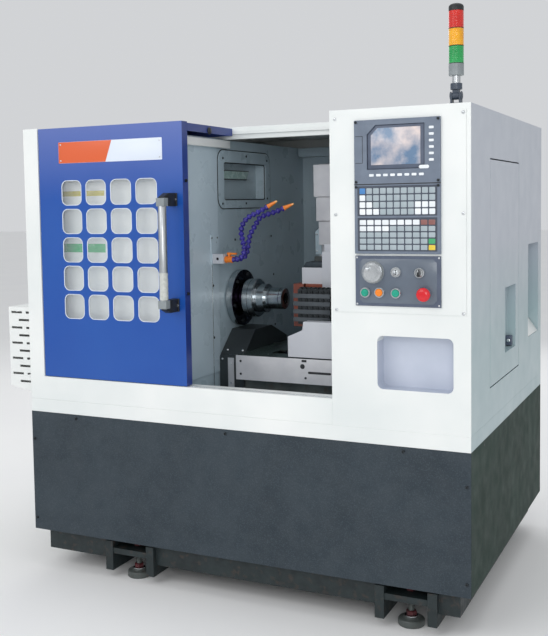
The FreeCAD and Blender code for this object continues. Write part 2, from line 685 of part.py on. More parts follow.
def door_rails():
    """Lower and upper slide rails of the door."""
    length = "cab_width - control_width - strip_width - 4"
    lower = box("strip_width + 2", "door_setback + 8", "sill_top", length, "6", "door_gap - run_gap")
    edge = "door_setback + door_roof + run_gap"
    upper = box("strip_width + 2", edge, "door_top - 20", length, f"roof_opening - ({edge})", "12")
    return together(lower, upper)


# ------------------------------------------------------------------ working chamber
def spindle_wall():
    """Sheet between headstock and chamber, open for the spindle cover and the hatch."""
    face = box("wall_left - skin", "sill_depth", "base_top + skin", "skin",
               "chamber_back - sill_depth", "chamber_top - 2 * skin - base_top")
    spindle = rod("X", "wall_left - skin - 1", "spindle_y", "spindle_z", "cover_radius - 8", "skin + 2")
    hatch = box("wall_left - skin - 1", "hatch_front + 40", "hatch_bottom + 24", "skin + 2",
                "hatch_back - hatch_front - 78", "hatch_top - hatch_bottom - 62")
    return cut(face, spindle, hatch)


def wall_hatch():
    """Round-cornered plate with a recessed window and the lamp bar inside it."""
    plate = rounded_body("YZ", "0", "0", "hatch_back - hatch_front", "hatch_top - hatch_bottom", "40",
                         "skin", ("wall_left", "hatch_front", "hatch_bottom"))
    y, z = "hatch_front + 42", "hatch_bottom + 26"
    width, high = "hatch_back - hatch_front - 82", "hatch_top - hatch_bottom - 66"
    pocket = box("wall_left - hatch_depth", y, z, "hatch_depth", width, high)
    mouth = rounded_body("YZ", "skin", "skin", f"{width} - 2 * skin", f"{high} - 2 * skin", "12",
                         "hatch_depth + 1", ("wall_left - hatch_depth + skin", y, z))
    lamp = box("wall_left - hatch_depth + skin", f"{y} + skin", f"{z} + ({high}) - 60", "18",
               f"({width}) * 0.7", "30")
    return fuse(cut(fuse(plate, pocket), mouth), lamp)


def chamber_liner():
    """Tray, back wall, right wall and the wall behind the control cabinet."""
    left = "wall_left - skin"
    width = f"chamber_right + skin - ({left})"
    tray = box(left, "sill_depth", "base_top", width, "chamber_back + skin - sill_depth", "skin")
    bed = box("bed_left - 2", "bed_front - 2", "base_top - 1", "bed_right - bed_left + 4",
              "bed_back - bed_front + 4", "skin + 2")
    back = box(left, "chamber_back", "base_top", width, "skin", "chamber_top - base_top")
    right = box("chamber_right", "control_depth", "base_top", "skin", "chamber_back - control_depth",
                "chamber_top - base_top")
    behind = box(from_right("control_width"), "control_depth", "base_top",
                 f"chamber_right - {from_right('control_width')}", "skin", "chamber_top - base_top")
    return cut(fuse(tray, back, right, behind), bed)


GUARD_LINE = [("315", "640"), ("315", "757"), ("418", "846"), ("560", "846"), ("700", "790"), ("700", "640")]


def chip_guard():
    """Black folded guard under the spindle, closed at its right end."""
    right_end = f"wall_left + skin + 95"
    outer = profile_body("YZ", GUARD_LINE, "95", ("wall_left + skin", "0", "0"))
    inner = profile_body("YZ", [("318", "639"), ("318", "755.5"), ("419", "843"), ("559.5", "843"),
                                ("697", "788"), ("697", "639")], "92", ("wall_left + skin - 1", "0", "0"))
    legs = box("bed_left - 4", "bed_front - 6", "630", f"{right_end} + 10 - bed_left",
               "bed_back - bed_front", "135")
    strip = box("wall_left + skin + 34", "313", "642", "24", "2", "112")
    return fuse(cut(outer, inner, legs), strip)


def way_cover():
    """Bright cover over the bed: front apron and top sheet with slots for the carriage's legs."""
    top = "cover_top - skin"
    right = "chamber_right - 5"
    lid_left = "wall_left + skin + 98"
    apron = box(lid_left, "cover_front", "cover_top - 86", f"{right} - ({lid_left})", "skin", "86")
    lid = box(lid_left, "cover_front + skin", top, f"{right} - ({lid_left})", "650", "skin")
    slots = [box("slot_left", f"{y} - {half}", f"{top} - 1", f"{right} - slot_left - 8", f"{2 * half}",
                 "skin + 2") for y, half in (("rail_front_y", 40), ("screw_y", 40), ("rail_back_y", 40))]
    return cut(fuse(apron, lid), *slots)


# ------------------------------------------------------------------ headstock and drive
def bed_casting():
    """Bed with rail seats, screw bearings and the posts that carry the way cover."""
    length = "bed_right - bed_left"
    body = box("bed_left", "bed_front", "base_top", length, "bed_back - bed_front", "bed_top - base_top")
    parts, holes = [body], []
    for x in ("bed_left + 60", "bed_right - 32"):
        parts.append(box(x, "screw_y - 30", "bed_top", "30", "60", "54"))
        holes.append(rod("X", f"{x} - 1", "screw_y", "screw_z", "screw_radius + fit", "32"))
    for x in ("bed_left + 100", "bed_right - 32"):
        for y in ("440", "690"):
            parts.append(box(x, y, "bed_top", "24", "40", "cover_top - skin - bed_top"))
    return cut(fuse(*parts), *holes)


def bed_rails():
    """Two guide rails on the bed."""
    return together(*[box("bed_left + 10", f"{y} - rail_width / 2", "bed_top",
                          "bed_right - bed_left - 20", "rail_width", "rail_high")
                      for y in ("rail_front_y", "rail_back_y")])


def headstock():
    """Headstock casting with its foot flange, two bearing seats and a through bore."""
    foot = box("320", "spindle_y - 164", "base_top", "277", "330", "32")
    body = box("330", "spindle_y - 110", "base_top + 32", "267", "220", "spindle_z + 110 - base_top - 32")
    bore = rod("X", "329", "spindle_y", "spindle_z", "62", "270")
    seats = [rod("X", x, "spindle_y", "spindle_z", "bearing_radius + fit", length)
             for x, length in (("329", "66"), ("517", "81"))]
    return cut(fuse(foot, body), bore, *seats)


def spindle_bearings():
    """Rear and front bearing rings."""
    rings = []
    for x, width in (("345", "50"), ("517", "60")):
        ring = rod("X", x, "spindle_y", "spindle_z", "bearing_radius", width)
        rings.append(cut(ring, rod("X", f"{x} - 1", "spindle_y", "spindle_z", "journal_radius + fit", "62")))
    return together(*rings)


def spindle_cover():
    """Cover disc bolted to the headstock's face through the wall."""
    disc = rod("X", "wall_left + skin", "spindle_y", "spindle_z", "cover_radius", "cover_thick")
    boss = rod("X", "597", "spindle_y", "spindle_z", "cover_radius - 14", "wall_left + skin - 597")
    bore = rod("X", "596", "spindle_y", "spindle_z", "neck_radius + 5", "wall_left + 60 - 596")
    return cut(fuse(disc, boss), bore)


def spindle():
    """Turned spindle with journals, stepped nose and a through bore."""
    body = turned("X", ("0", "spindle_y", "spindle_z"), [
        ("20", "bore_radius"), ("20", "34"), ("200", "34"), ("200", "40"), ("335", "40"),
        ("335", "journal_radius"), ("397", "journal_radius"), ("397", "journal_radius + 6"),
        ("512", "journal_radius + 6"), ("512", "journal_radius"), ("579", "journal_radius"),
        ("579", "neck_radius"), ("652", "neck_radius"), ("652", "70.5"), ("691", "70.5"), ("694", "67.5"),
        ("694", "52.5"), ("728", "52.5"), ("728", "39.5"), ("796", "39.5"), ("798", "37.5"),
        ("798", "bore_radius")])
    key = rod("Z", "711", "spindle_y", "spindle_z + 40", "5", "20")
    return cut(body, key)


def spindle_pulley():
    """Grooved pulley on the spindle's seat."""
    ring = rod("X", "pulley_left", "spindle_y", "spindle_z", "pulley_radius", "pulley_width")
    return cut(ring, rod("X", "pulley_left - 1", "spindle_y", "spindle_z", "40.02", "pulley_width + 2"))


def spindle_motor():
    """Square motor with its flange, standing on a block, drilled for the shaft."""
    x = "pulley_left + pulley_width + 40"
    half = "motor_size / 2"
    body = box(x, f"motor_y - {half}", f"motor_z - {half}", "240", "motor_size", "motor_size")
    flange = box(f"{x} - 12", f"motor_y - {half} - 12", f"motor_z - {half} - 12", "12",
                 "motor_size + 24", "motor_size + 24")
    stand = box(f"{x} + 20", f"motor_y - {half} + 15", "base_top", "200", "motor_size - 30",
                f"motor_z - {half} - base_top")
    shaft = rod("X", f"{x} - 13", "motor_y", "motor_z", "shaft_radius + fit", "80")
    return cut(fuse(body, flange, stand), shaft)


def motor_pulley():
    """Motor shaft with the small pulley."""
    pulley = rod("X", "pulley_left", "motor_y", "motor_z", "motor_pulley_radius", "pulley_width")
    shaft = rod("X", "pulley_left - 5", "motor_y", "motor_z", "shaft_radius", "pulley_width + 90")
    return fuse(pulley, shaft)


def loop_face(centres, radii):
    """Face bounded by the outer tangents and arcs of two circles in a plane of constant X."""
    first, second = centres
    along = second - first
    distance = along.Length
    lean = math.acos((radii[0] - radii[1]) / distance)
    heading = math.atan2(along.z, along.y)

    def on_circle(index, angle):
        return centres[index] + V(0, radii[index] * math.cos(angle), radii[index] * math.sin(angle))

    up, down = heading + lean, heading - lean
    edges = [
        Part.LineSegment(on_circle(0, up), on_circle(1, up)).toShape(),
        Part.Arc(on_circle(1, up), on_circle(1, heading), on_circle(1, down)).toShape(),
        Part.LineSegment(on_circle(1, down), on_circle(0, down)).toShape(),
        Part.Arc(on_circle(0, down), on_circle(0, heading + math.pi), on_circle(0, up)).toShape(),
    ]
    return Part.Face(Part.Wire(edges))


def drive_belt():
    """Flat belt round both pulleys; its tangent path is worked out here, so it is a plain feature."""
    left, width = value("pulley_left") + 10, value("pulley_width") - 20
    x = left - value(HALF_WIDTH)
    centres = [V(x, value(f"{name}_y - {HALF_DEPTH}"), value(f"{name}_z")) for name in ("spindle", "motor")]
    inner = [value("pulley_radius + run_gap"), value("motor_pulley_radius + run_gap")]
    outer = [radius + value("belt_thick") for radius in inner]
    obj = doc.addObject("Part::Feature", "belt")
    obj.Shape = loop_face(centres, outer).cut(loop_face(centres, inner)).extrude(V(width, 0, 0))
    return obj


# ------------------------------------------------------------------ slides and tools
def block_on_rail(x, length, y):
    """Bearing block that straddles a bed rail and reaches up to the carriage deck."""
    gap = "run_gap"
    return cut(
        box(x, f"{y} - rail_width / 2 - 17", "bed_top + 6", length, "rail_width + 34",
            "deck_bottom - bed_top - 6"),
        box(f"({x}) - 1", f"{y} - rail_width / 2 - {gap}", "bed_top + 5", f"({length}) + 2",
            f"rail_width + 2 * {gap}", f"rail_high - 5 + {gap}"))


def carriage():
    """Carriage deck on four bearing blocks with the screw nut below and two cross rails above."""
    deck = box("carriage_left", "300", "deck_bottom", "carriage_width", "560", "deck_thick")
    blocks = [block_on_rail(x, "80", y) for y in ("rail_front_y", "rail_back_y")
              for x in ("carriage_left + 5", "carriage_left + carriage_width - 85")]
    nut = cut(box("carriage_left + 110", "screw_y - 30", "screw_z - 26", "65", "60",
                  "deck_bottom - screw_z + 26"),
              rod("X", "carriage_left + 109", "screw_y", "screw_z", "screw_radius + fit", "67"))
    rails = [box(f"{x} - cross_rail_width / 2", "310", "deck_bottom + deck_thick", "cross_rail_width",
                 "540", "cross_rail_high") for x in cross_rail_x()]
    return fuse(deck, *blocks, nut, *rails)


def cross_rail_x():
    """X places of the two cross rails."""
    return ["(carriage_left + 30)", "(carriage_left + carriage_width - 35)"]


def carriage_cover():
    """Light grey folded cover on the carriage's front, with a sloped and stepped upper left corner."""
    left, right, low, high = "carriage_left - 10", "carriage_left + carriage_width + 5", "779", "902"
    outer = profile_body("XZ", [(left, low), (right, low), (right, high), (f"{left} + 58", high),
                                (f"{left} + 54", f"{high} - 29"), (left, f"{high} - 53")],
                         "42", ("0", "258", "0"))
    inner = profile_body("XZ", [
        (f"{left} + skin", f"{low} - 1"), (f"{right} - skin", f"{low} - 1"),
        (f"{right} - skin", f"{high} - skin"), (f"{left} + 60.6", f"{high} - skin"),
        (f"{left} + 56.8", f"{high} - 31"), (f"{left} + skin", f"{high} - 55")], "60", ("0", "261", "0"))
    flange = box(f"{left} + skin", "297", "785", "carriage_width + 15 - 2 * skin", "skin", "27")
    return fuse(cut(outer, inner), flange)


def ball_screw():
    """Carriage feed screw."""
    return rod("X", "bed_left + 50", "screw_y", "screw_z", "screw_radius", "bed_right - bed_left - 52")


def cross_slide():
    """Cross slide plate with its rail blocks and the column that carries the vertical slide."""
    top = "deck_bottom + deck_thick + cross_rail_high + 15"
    plate = box("column_left", "column_front", top, "column_width + 25", "column_depth + 20", "30")
    parts = [plate]
    for x in cross_rail_x():
        for y in ("column_front + 5", "column_front + column_depth - 45"):
            low = "deck_bottom + deck_thick + 4"
            shoe = box(f"{x} - cross_rail_width / 2 - 12", y, low, "cross_rail_width + 24", "60",
                       f"{top} - ({low})")
            groove = box(f"{x} - cross_rail_width / 2 - run_gap", f"{y} - 1", f"{low} - 1",
                         "cross_rail_width + 2 * run_gap", "62", "cross_rail_high - 3 + run_gap")
            parts.append(cut(shoe, groove))
    parts.append(box("column_left", "column_front", f"{top} + 30", "column_width", "column_depth",
                     f"column_top - ({top}) - 30"))
    for x in column_rail_x():
        parts.append(box(f"{x} - 12", "column_front - 20", "900", "24", "20", "column_top - 910"))
    return fuse(*parts)


def column_rail_x():
    """X places of the column's two rails."""
    return ["(column_left + 40)", "(column_left + column_width - 40)"]


def column_cover():
    """Three telescopic cover sections over the upper column rails, each narrower than the one above."""
    sections = []
    for index, (low_drop, high_drop) in enumerate(((124, 4), (214, 125), (303, 215))):
        inset = 8 * index
        low, high = f"(column_top - {low_drop})", f"(column_top - {high_drop})"
        inner_high = f"{high} - ({low}) {'- 1' if index == 0 else '+ 2'}"
        shell = cut(
            box(f"column_left - 4 + {inset}", f"column_front - 42 + {inset / 2}", low,
                f"column_width + 8 - {2 * inset}", f"42 - {inset / 2} - 0.3", f"{high} - ({low})"),
            box(f"column_left - 2 + {inset}", f"column_front - 40 + {inset / 2}", f"{low} - 1",
                f"column_width + 4 - {2 * inset}", "60", inner_high))
        sections.append(shell)
    return together(*sections)


def vertical_slide():
    """Vertical slide plate with blocks on the column's rails."""
    plate = box("column_left + 4", "column_front - 60", "900", "column_width - 8", "slide_thick", "205")
    parts = [plate]
    for x in column_rail_x():
        for z in ("905", "1035"):
            shoe = box(f"{x} - 24", "column_front - 30", z, "48", "26", "65")
            groove = box(f"{x} - 12 - run_gap", "column_front - 20 - run_gap", f"{z} - 1",
                         "24 + 2 * run_gap", "30", "67")
            parts.append(cut(shoe, groove))
    return fuse(*parts)


def tool_block():
    """Copper-brown tool carrier with a pale clamp block on its top."""
    y = "440"
    body = box("tool_left", y, "tool_bottom", "150", "column_front - 60 - 440", "tool_high")
    groove = box("tool_left + 40", y, "tool_bottom + tool_high - 24", "8", "column_front - 60 - 440", "25")
    clamp = box("tool_left + 30", "450", "tool_bottom + tool_high", "110", "90", "60")
    return fuse(cut(body, groove), clamp)


TOOL_ROWS = 4


def gang_block():
    """Black gang holder with four tool slots across it."""
    body = box("tool_left + 38", "390", "tool_bottom + 16", "130", "50", "124")
    slots = [box("tool_left + 37", "389", f"tool_bottom + 24 + {28 * row}", "132", "17", "16")
             for row in range(TOOL_ROWS)]
    return cut(body, *slots)


def tool_bits():
    """Square tool shanks with cut tips, one in each slot."""
    bits = []
    for row in range(TOOL_ROWS):
        z = f"tool_bottom + 24.2 + {28 * row}"
        shank = box("tool_left + 20", "390", z, "140", "15.6", "15.6")
        relief = box("tool_left + 19", "398", f"{z} + 10", "14", "9", "7")
        bits.append(cut(shank, relief))
    return together(*bits)


# ------------------------------------------------------------------ coolant
def coolant_block():
    """Manifold block on a small wall plate, drilled from the front, with the valve's body."""
    x, y = "wall_left + skin", "271"
    plate = box(x, "262", "block_z - 4", "2.5", "58", "106")
    block = box(x, y, "block_z", "block_size", "34", "34")
    hole = rod("Y", f"{x} + 22", f"{y} - 1", "block_z + 17", "5", "14")
    valve = rod("X", f"{x} + block_size", f"{y} + 17", "block_z + 14", "10", "30")
    stem = rod("Z", f"{x} + block_size + 15", f"{y} + 17", "block_z + 14", "5", "16")
    elbow = rod("X", f"{x} + block_size", f"{y} + 60", "block_z + 14", "9", "22")
    branch = box(x, f"{y} + 34", "block_z + 2", "block_size", "38", "26")
    return fuse(cut(fuse(block, plate, branch), hole), valve, stem, elbow)


def valve_lever():
    """Quarter-turn lever on the valve's stem."""
    x = "wall_left + skin + block_size + 15"
    hub = rod("Z", x, "288", "block_z + 30.3", "8", "9")
    arm = box(f"{x} - 5", "282", "block_z + 32", "34", "12", "6")
    return fuse(hub, arm)


HOSE_LINES = (
    ((680, 288, 1109), (700, 288, 1109), (716, 292, 1121), (722, 297, 1142), (716, 302, 1162),
     (708, 307, 1182), (701, 312, 1204), (702, 317, 1226), (712, 322, 1246), (728, 328, 1260),
     (748, 334, 1270), (768, 340, 1280), (788, 346, 1292)),
    ((672, 331, 1109), (694, 331, 1109), (710, 332, 1122), (716, 334, 1146), (718, 337, 1170),
     (722, 341, 1194), (732, 346, 1214), (742, 352, 1234), (752, 358, 1254), (770, 364, 1264),
     (792, 370, 1270), (814, 376, 1277), (834, 382, 1286)),
)
NOZZLE_LENGTH = 42


def hose_shape(points):
    """Chain of ball-jointed segments with a tapered nozzle, one solid; its path is a list of joints."""
    shift = V(value(HALF_WIDTH), value(HALF_DEPTH), 0)
    joints = [V(*point) - shift for point in points]
    radius = value("hose_radius")
    solids = []
    for index, (start, stop) in enumerate(zip(joints, joints[1:])):
        along = stop - start
        solids.append(Part.makeCylinder(radius * 0.8, along.Length, start, along))
        if index:
            solids.append(Part.makeSphere(radius, start, along))
    along = joints[-1] - joints[-2]
    solids.append(Part.makeSphere(radius, joints[-1], along))
    solids.append(Part.makeCone(radius * 1.1, radius * 0.4, NOZZLE_LENGTH, joints[-1], along))
    return solids[0].multiFuse(solids[1:])


def coolant_hoses():
    """The two segmented hoses; a plain feature, because no primitive follows a free path."""
    obj = doc.addObject("Part::Feature", "hoses")
    obj.Shape = Part.makeCompound([hose_shape(points) for points in HOSE_LINES])
    return obj


# ------------------------------------------------------------------ signal tower
def tower_spot():
    """The tower's place in plan."""
    return from_right("tower_x"), "tower_y"


def tower_base():
    """Fixed half of the folding bracket: foot disc, two cheeks and the pivot pin."""
    x, y = tower_spot()
    foot = rod("Z", x, y, "cab_height", "22", "4")
    cheeks = [box(start, f"{y} - 12", "cab_height + 4", "5", "24", "tower_pivot + 8 - 4")
              for start in (f"{x} - 15", f"{x} + 10")]
    pin = rod("X", f"{x} - 15", y, "cab_height + tower_pivot", "4", "30")
    return fuse(foot, *cheeks, pin)


def tower_pole():
    """Moving half of the bracket with the pole and the lamp socket."""
    x, y = tower_spot()
    pivot = "cab_height + tower_pivot"
    knuckle = cut(fuse(rod("X", f"{x} - 9.6", y, pivot, "12", "19.2"),
                       box(f"{x} - 9.6", f"{y} - 9", pivot, "19.2", "18", "18")),
                  rod("X", f"{x} - 10", y, pivot, "4 + fit", "20"))
    tube = turned("Z", (x, y, f"{pivot} + 17"), [
        ("0", "0"), ("0", "17"), ("18", "17"), ("18", "12"), ("40", "12"), ("40", "lens_radius"),
        ("74", "lens_radius"), ("74", "0")])
    return fuse(knuckle, tube)


def signal_lights():
    """Green, amber and red lenses and the cap, four stacked solids."""
    x, y = tower_spot()
    bottom = "cab_height + tower_pivot + 91"
    stack = [rod("Z", x, y, f"{bottom} + {50 * index}", "lens_radius", "49.7") for index in range(3)]
    stack.append(turned("Z", (x, y, f"{bottom} + 150"), [
        ("0", "0"), ("0", "lens_radius"), ("14", "lens_radius"), ("21", "lens_radius - 7"), ("21", "0")]))
    return together(*stack)


# ------------------------------------------------------------------ fasteners
def fasteners():
    """Access panel screws, skirt screws and side panel screws, all separate solids."""
    screws = []
    for x, z in panel_screw_spots():
        head = rod("Y", x, "-skin - 2", z, "5", "2")
        screws.append(fuse(head, rod("Y", x, "-skin", z, "2.5", "2 * skin + 4")))
    for x in ("196", "788", "1387"):
        screws.append(rod("Y", x, "-2", "band_bottom - 12", "4.5", "2"))
    return together(*screws)


BUILDERS = [
    levelling_feet, machine_base, face_skirts, side_skirts, base_band, front_frame,
    fixed_front_panel, control_cabinet, control_panel, controller, operator_panel, stop_button, handwheel,
    key_switch, selector_switch, right_side_panel, service_door, left_side_panel, louver_guard, rear_panel,
    roof_panel, sliding_door, door_pane, door_handle, sign_plate, door_rails, spindle_wall, wall_hatch,
    chamber_liner, chip_guard, way_cover, bed_casting, bed_rails, headstock, spindle_bearings,
    spindle_cover, spindle, spindle_pulley, spindle_motor, motor_pulley, drive_belt, carriage,
    carriage_cover, ball_screw, cross_slide, column_cover, vertical_slide, tool_block, gang_block,
    tool_bits, coolant_block, valve_lever, coolant_hoses, tower_base, tower_pole, signal_lights, fasteners,
]

for builder in BUILDERS:
    node(builder.__name__, builder())
for button in BUTTONS:
    node(button, push_button(button))
doc.recompute()

broken = [obj.Name for obj in doc.Objects if {"Invalid", "Error"} & set(obj.State)]
if broken:
    raise RuntimeError(f"objects that did not rebuild: {broken}")
for name, obj in NODES:
    if obj.Shape.isNull() or not obj.Shape.isValid() or not obj.Shape.Solids:
        raise RuntimeError(f"{name} has no valid solid")

os.makedirs("parts", exist_ok=True)
for name, obj in NODES:
    obj.Shape.exportStep(f"parts/{name}.step")
whole = Part.makeCompound([obj.Shape for _, obj in NODES]).BoundBox
print(f"{len(NODES)} nodes, box X {whole.XMin:.1f} {whole.XMax:.1f}, Y {whole.YMin:.1f} {whole.YMax:.1f}, "
      f"Z {whole.ZMin:.1f} {whole.ZMax:.1f}")
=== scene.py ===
"""CNC turning lathe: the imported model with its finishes, its rounded edges and the small pieces outside the CAD.

Lengths are millimetres in the cabinet's own frame: X runs right from its left face, Y back from its front
plane and Z up from the floor. `at` turns them into the row frame's metres.
"""

import json
import logging
import math
from dataclasses import dataclass
from enum import Enum

import bmesh
import bpy
from mathutils import Matrix, Vector

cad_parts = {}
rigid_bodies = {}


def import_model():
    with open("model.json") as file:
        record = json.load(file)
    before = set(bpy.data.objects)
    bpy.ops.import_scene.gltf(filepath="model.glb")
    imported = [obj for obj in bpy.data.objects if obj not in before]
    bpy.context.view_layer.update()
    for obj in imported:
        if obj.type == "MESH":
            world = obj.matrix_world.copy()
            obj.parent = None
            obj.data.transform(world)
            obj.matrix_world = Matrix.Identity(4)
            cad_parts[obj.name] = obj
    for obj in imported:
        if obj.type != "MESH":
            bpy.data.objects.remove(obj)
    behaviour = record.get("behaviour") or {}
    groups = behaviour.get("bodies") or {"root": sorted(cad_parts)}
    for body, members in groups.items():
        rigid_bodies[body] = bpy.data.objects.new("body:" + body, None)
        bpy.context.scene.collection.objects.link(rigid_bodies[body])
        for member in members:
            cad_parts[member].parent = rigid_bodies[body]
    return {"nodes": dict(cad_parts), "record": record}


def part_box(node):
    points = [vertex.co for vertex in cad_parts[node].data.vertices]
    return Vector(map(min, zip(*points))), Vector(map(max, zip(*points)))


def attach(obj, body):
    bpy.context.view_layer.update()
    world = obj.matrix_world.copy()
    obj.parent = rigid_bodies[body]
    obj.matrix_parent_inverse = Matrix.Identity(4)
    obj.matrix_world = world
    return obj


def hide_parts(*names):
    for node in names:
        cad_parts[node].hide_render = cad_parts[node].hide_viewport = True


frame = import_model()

logging.basicConfig(level=logging.INFO, format="%(message)s")
log = logging.getLogger("lathe")

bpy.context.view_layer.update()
MM = 0.001
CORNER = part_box("front_frame")[0]
BODY_OF = {node: body for body, nodes in frame["record"]["behaviour"]["bodies"].items() for node in nodes}

Point = tuple[float, float, float]
Flat = tuple[float, float]
Spot = tuple[float, float, float, str]


# ------------------------------------------------------------------ places
def at(x: float, y: float, z: float) -> Vector:
    """Cabinet millimetres as a point of the row frame, in metres."""
    return Vector((CORNER.x + x * MM, CORNER.y + y * MM, z * MM))


def span(node: str) -> tuple[Vector, Vector]:
    """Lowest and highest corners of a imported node.

    Args:
        node: the node's name.

    Returns:
        Both corners in cabinet millimetres.
    """
    shift = Vector((CORNER.x, CORNER.y, 0))
    low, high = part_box(node)
    return (low - shift) / MM, (high - shift) / MM


def middle(node: str) -> tuple[float, float, float]:
    """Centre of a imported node, in cabinet millimetres."""
    low, high = span(node)
    return (low.x + high.x) / 2, (low.y + high.y) / 2, (low.z + high.z) / 2


class Axis(Enum):
    """Direction that a turned or extruded piece runs along, as the order of its axes: along, first, second."""

    X = (0, 1, 2)
    Y = (1, 0, 2)
    Z = (2, 0, 1)

    def point(self, along: float, first: float, second: float) -> Vector:
        """A point from its place along this axis and its two places across it."""
        place = [0.0, 0.0, 0.0]
        for index, value in zip(self.value, (along, first, second)):
            place[index] = value
        return Vector(place)


# ------------------------------------------------------------------ finishes
def linear(code: str) -> tuple[float, float, float, float]:
    """An sRGB hex colour as linear RGBA."""
    parts = [int(code[start:start + 2], 16) / 255 for start in (1, 3, 5)]
    red, green, blue = [c / 12.92 if c <= 0.04045 else ((c + 0.055) / 1.055) ** 2.4 for c in parts]
    return red, green, blue, 1.0


def add(tree: bpy.types.NodeTree, kind: str, inputs: dict | None = None, **settings) -> bpy.types.Node:
    """Add a node with its settings, input values and links.

    Args:
        tree: the node tree.
        kind: the node's type name.
        inputs: for each input's name or index, a value or the output socket that feeds it.
        settings: the node's own properties.

    Returns:
        The new node.
    """
    node = tree.nodes.new(kind)
    for name, value in settings.items():
        setattr(node, name, value)
    for name, value in (inputs or {}).items():
        if isinstance(value, bpy.types.NodeSocket):
            tree.links.new(value, node.inputs[name])
        else:
            node.inputs[name].default_value = value
    return node


class Surface:
    """A material's node tree while its finish puts it together."""

    def __init__(self, name: str, **shader: float | tuple) -> None:
        """Start with a Principled shader whose constant values are given with underscores for spaces."""
        self.material = bpy.data.materials.new(name)
        self.material.use_nodes = True
        self.tree = self.material.node_tree
        self.tree.nodes.clear()
        self.shader = add(self.tree, "ShaderNodeBsdfPrincipled",
                          {key.replace("_", " "): value for key, value in shader.items()})
        add(self.tree, "ShaderNodeOutputMaterial", {"Surface": self.shader.outputs["BSDF"]})
        self.place = add(self.tree, "ShaderNodeTexCoord").outputs["Object"]

    def patches(self, size: float, low: float, high: float, detail: float = 3.0,
                stretch: Point = (1.0, 1.0, 1.0)) -> bpy.types.NodeSocket:
        """Soft patches that wander between two values.

        Args:
            size: width of a patch in millimetres.
            low: value in the darkest patches.
            high: value in the lightest patches.
            detail: octaves of finer variation.
            stretch: factors that draw the patches out along an axis where they are below 1.

        Returns:
            The socket that carries the value.
        """
        mapped = add(self.tree, "ShaderNodeMapping", {"Vector": self.place, "Scale": stretch})
        noise = add(self.tree, "ShaderNodeTexNoise",
                    {"Vector": mapped.outputs["Vector"], "Scale": 1 / (size * MM), "Detail": detail})
        ranged = add(self.tree, "ShaderNodeMapRange", {
            "Value": noise.outputs["Fac"], "From Min": 0.3, "From Max": 0.7, "To Min": low, "To Max": high})
        return ranged.outputs["Result"]

    def rise(self, low: float, high: float) -> bpy.types.NodeSocket:
        """A value that climbs from 0 to 1 between two heights in millimetres."""
        height = add(self.tree, "ShaderNodeSeparateXYZ", {"Vector": self.place}).outputs["Z"]
        climb = add(self.tree, "ShaderNodeMapRange", {
            "Value": height, "From Min": low * MM, "From Max": high * MM, "To Min": 0.0, "To Max": 1.0})
        return climb.outputs["Result"]

    def colours(self, factor: bpy.types.NodeSocket, first: str | bpy.types.NodeSocket,
                second: str) -> bpy.types.NodeSocket:
        """Mix from a first colour, or what another mix gives, to a second one by a factor."""
        start = linear(first) if isinstance(first, str) else first
        mix = add(self.tree, "ShaderNodeMix", {"Factor": factor, 6: start, 7: linear(second)},
                  data_type="RGBA")
        return mix.outputs[2]

    def feed(self, name: str, socket: bpy.types.NodeSocket) -> None:
        """Link a socket to one of the shader's inputs."""
        self.tree.links.new(socket, self.shader.inputs[name])

    def skin(self, colour: bpy.types.NodeSocket, shine: bpy.types.NodeSocket,
             height: bpy.types.NodeSocket, depth: float) -> "Surface":
        """Feed colour and roughness, and raise a relief.

        Args:
            colour: the base colour.
            shine: the roughness.
            height: the relief's pattern.
            depth: the relief's depth in millimetres.

        Returns:
            The surface.
        """
        self.feed("Base Color", colour)
        self.feed("Roughness", shine)
        bump = add(self.tree, "ShaderNodeBump", {"Height": height, "Distance": depth * MM, "Strength": 1.0})
        self.feed("Normal", bump.outputs["Normal"])
        return self


@dataclass(frozen=True)
class Finish:
    """What every finish has: its name, the record's slot and two colours close to each other."""

    name: str
    slot: str
    colour: str
    shade: str

    def make(self) -> bpy.types.Material:
        """The finish's material, built once."""
        return bpy.data.materials.get(self.name) or self.build().material

    def build(self) -> Surface:
        """Put the material together."""
        raise NotImplementedError


@dataclass(frozen=True)
class Enamel(Finish):
    """Sprayed and baked enamel on sheet steel: a faint orange peel, soft clouds and light handling marks."""

    roughness: float = 0.36
    cloud: float = 320.0
    peel: float = 4.0
    peel_depth: float = 0.03
    marks: float = 0.1
    # Colour that the top is painted towards as painted light, and the heights between which it climbs.
    painted_top_light: str = ""
    painted_light_from: float = 1330.0
    painted_light_to: float = 1590.0

    def build(self) -> Surface:
        """Clouds in the colour, finer marks in the shine and an orange peel."""
        surface = Surface(self.name, Coat_Weight=0.15, Coat_Roughness=0.25, Metallic=0.0)
        cloud = surface.colours(surface.patches(self.cloud, 0.0, 1.0), self.colour, self.shade)
        smudge = surface.patches(45.0, -0.2, self.marks, detail=5.0, stretch=(1.0, 1.0, 0.4))
        coat = surface.colours(smudge, cloud, self.shade)
        # Paler towards the top: painted light.
        if self.painted_top_light:
            coat = surface.colours(surface.rise(self.painted_light_from, self.painted_light_to), coat, self.painted_top_light)
        return surface.skin(coat, surface.patches(90.0, self.roughness - 0.06, self.roughness + 0.08),
                            surface.patches(self.peel, 0.0, 1.0, detail=1.0), self.peel_depth)


@dataclass(frozen=True)
class StructureCoat(Finish):
    """Structure powder coat: a matt, pebbled skin with fine pale specks and wide faint blotches."""

    roughness: float = 0.74
    pebble: float = 3.2
    pebble_depth: float = 0.25
    speck: str = "#48525A"

    def build(self) -> Surface:
        """Blotches, specks and a pebbled relief."""
        surface = Surface(self.name, Metallic=0.0)
        blotch = surface.colours(surface.patches(170.0, 0.0, 1.0, detail=4.0), self.colour, self.shade)
        speck = surface.patches(self.pebble, -0.5, 0.45, detail=2.0)
        return surface.skin(surface.colours(speck, blotch, self.speck),
                            surface.patches(60.0, self.roughness - 0.1, self.roughness + 0.1),
                            surface.patches(self.pebble, 0.0, 1.0, detail=2.0), self.pebble_depth)


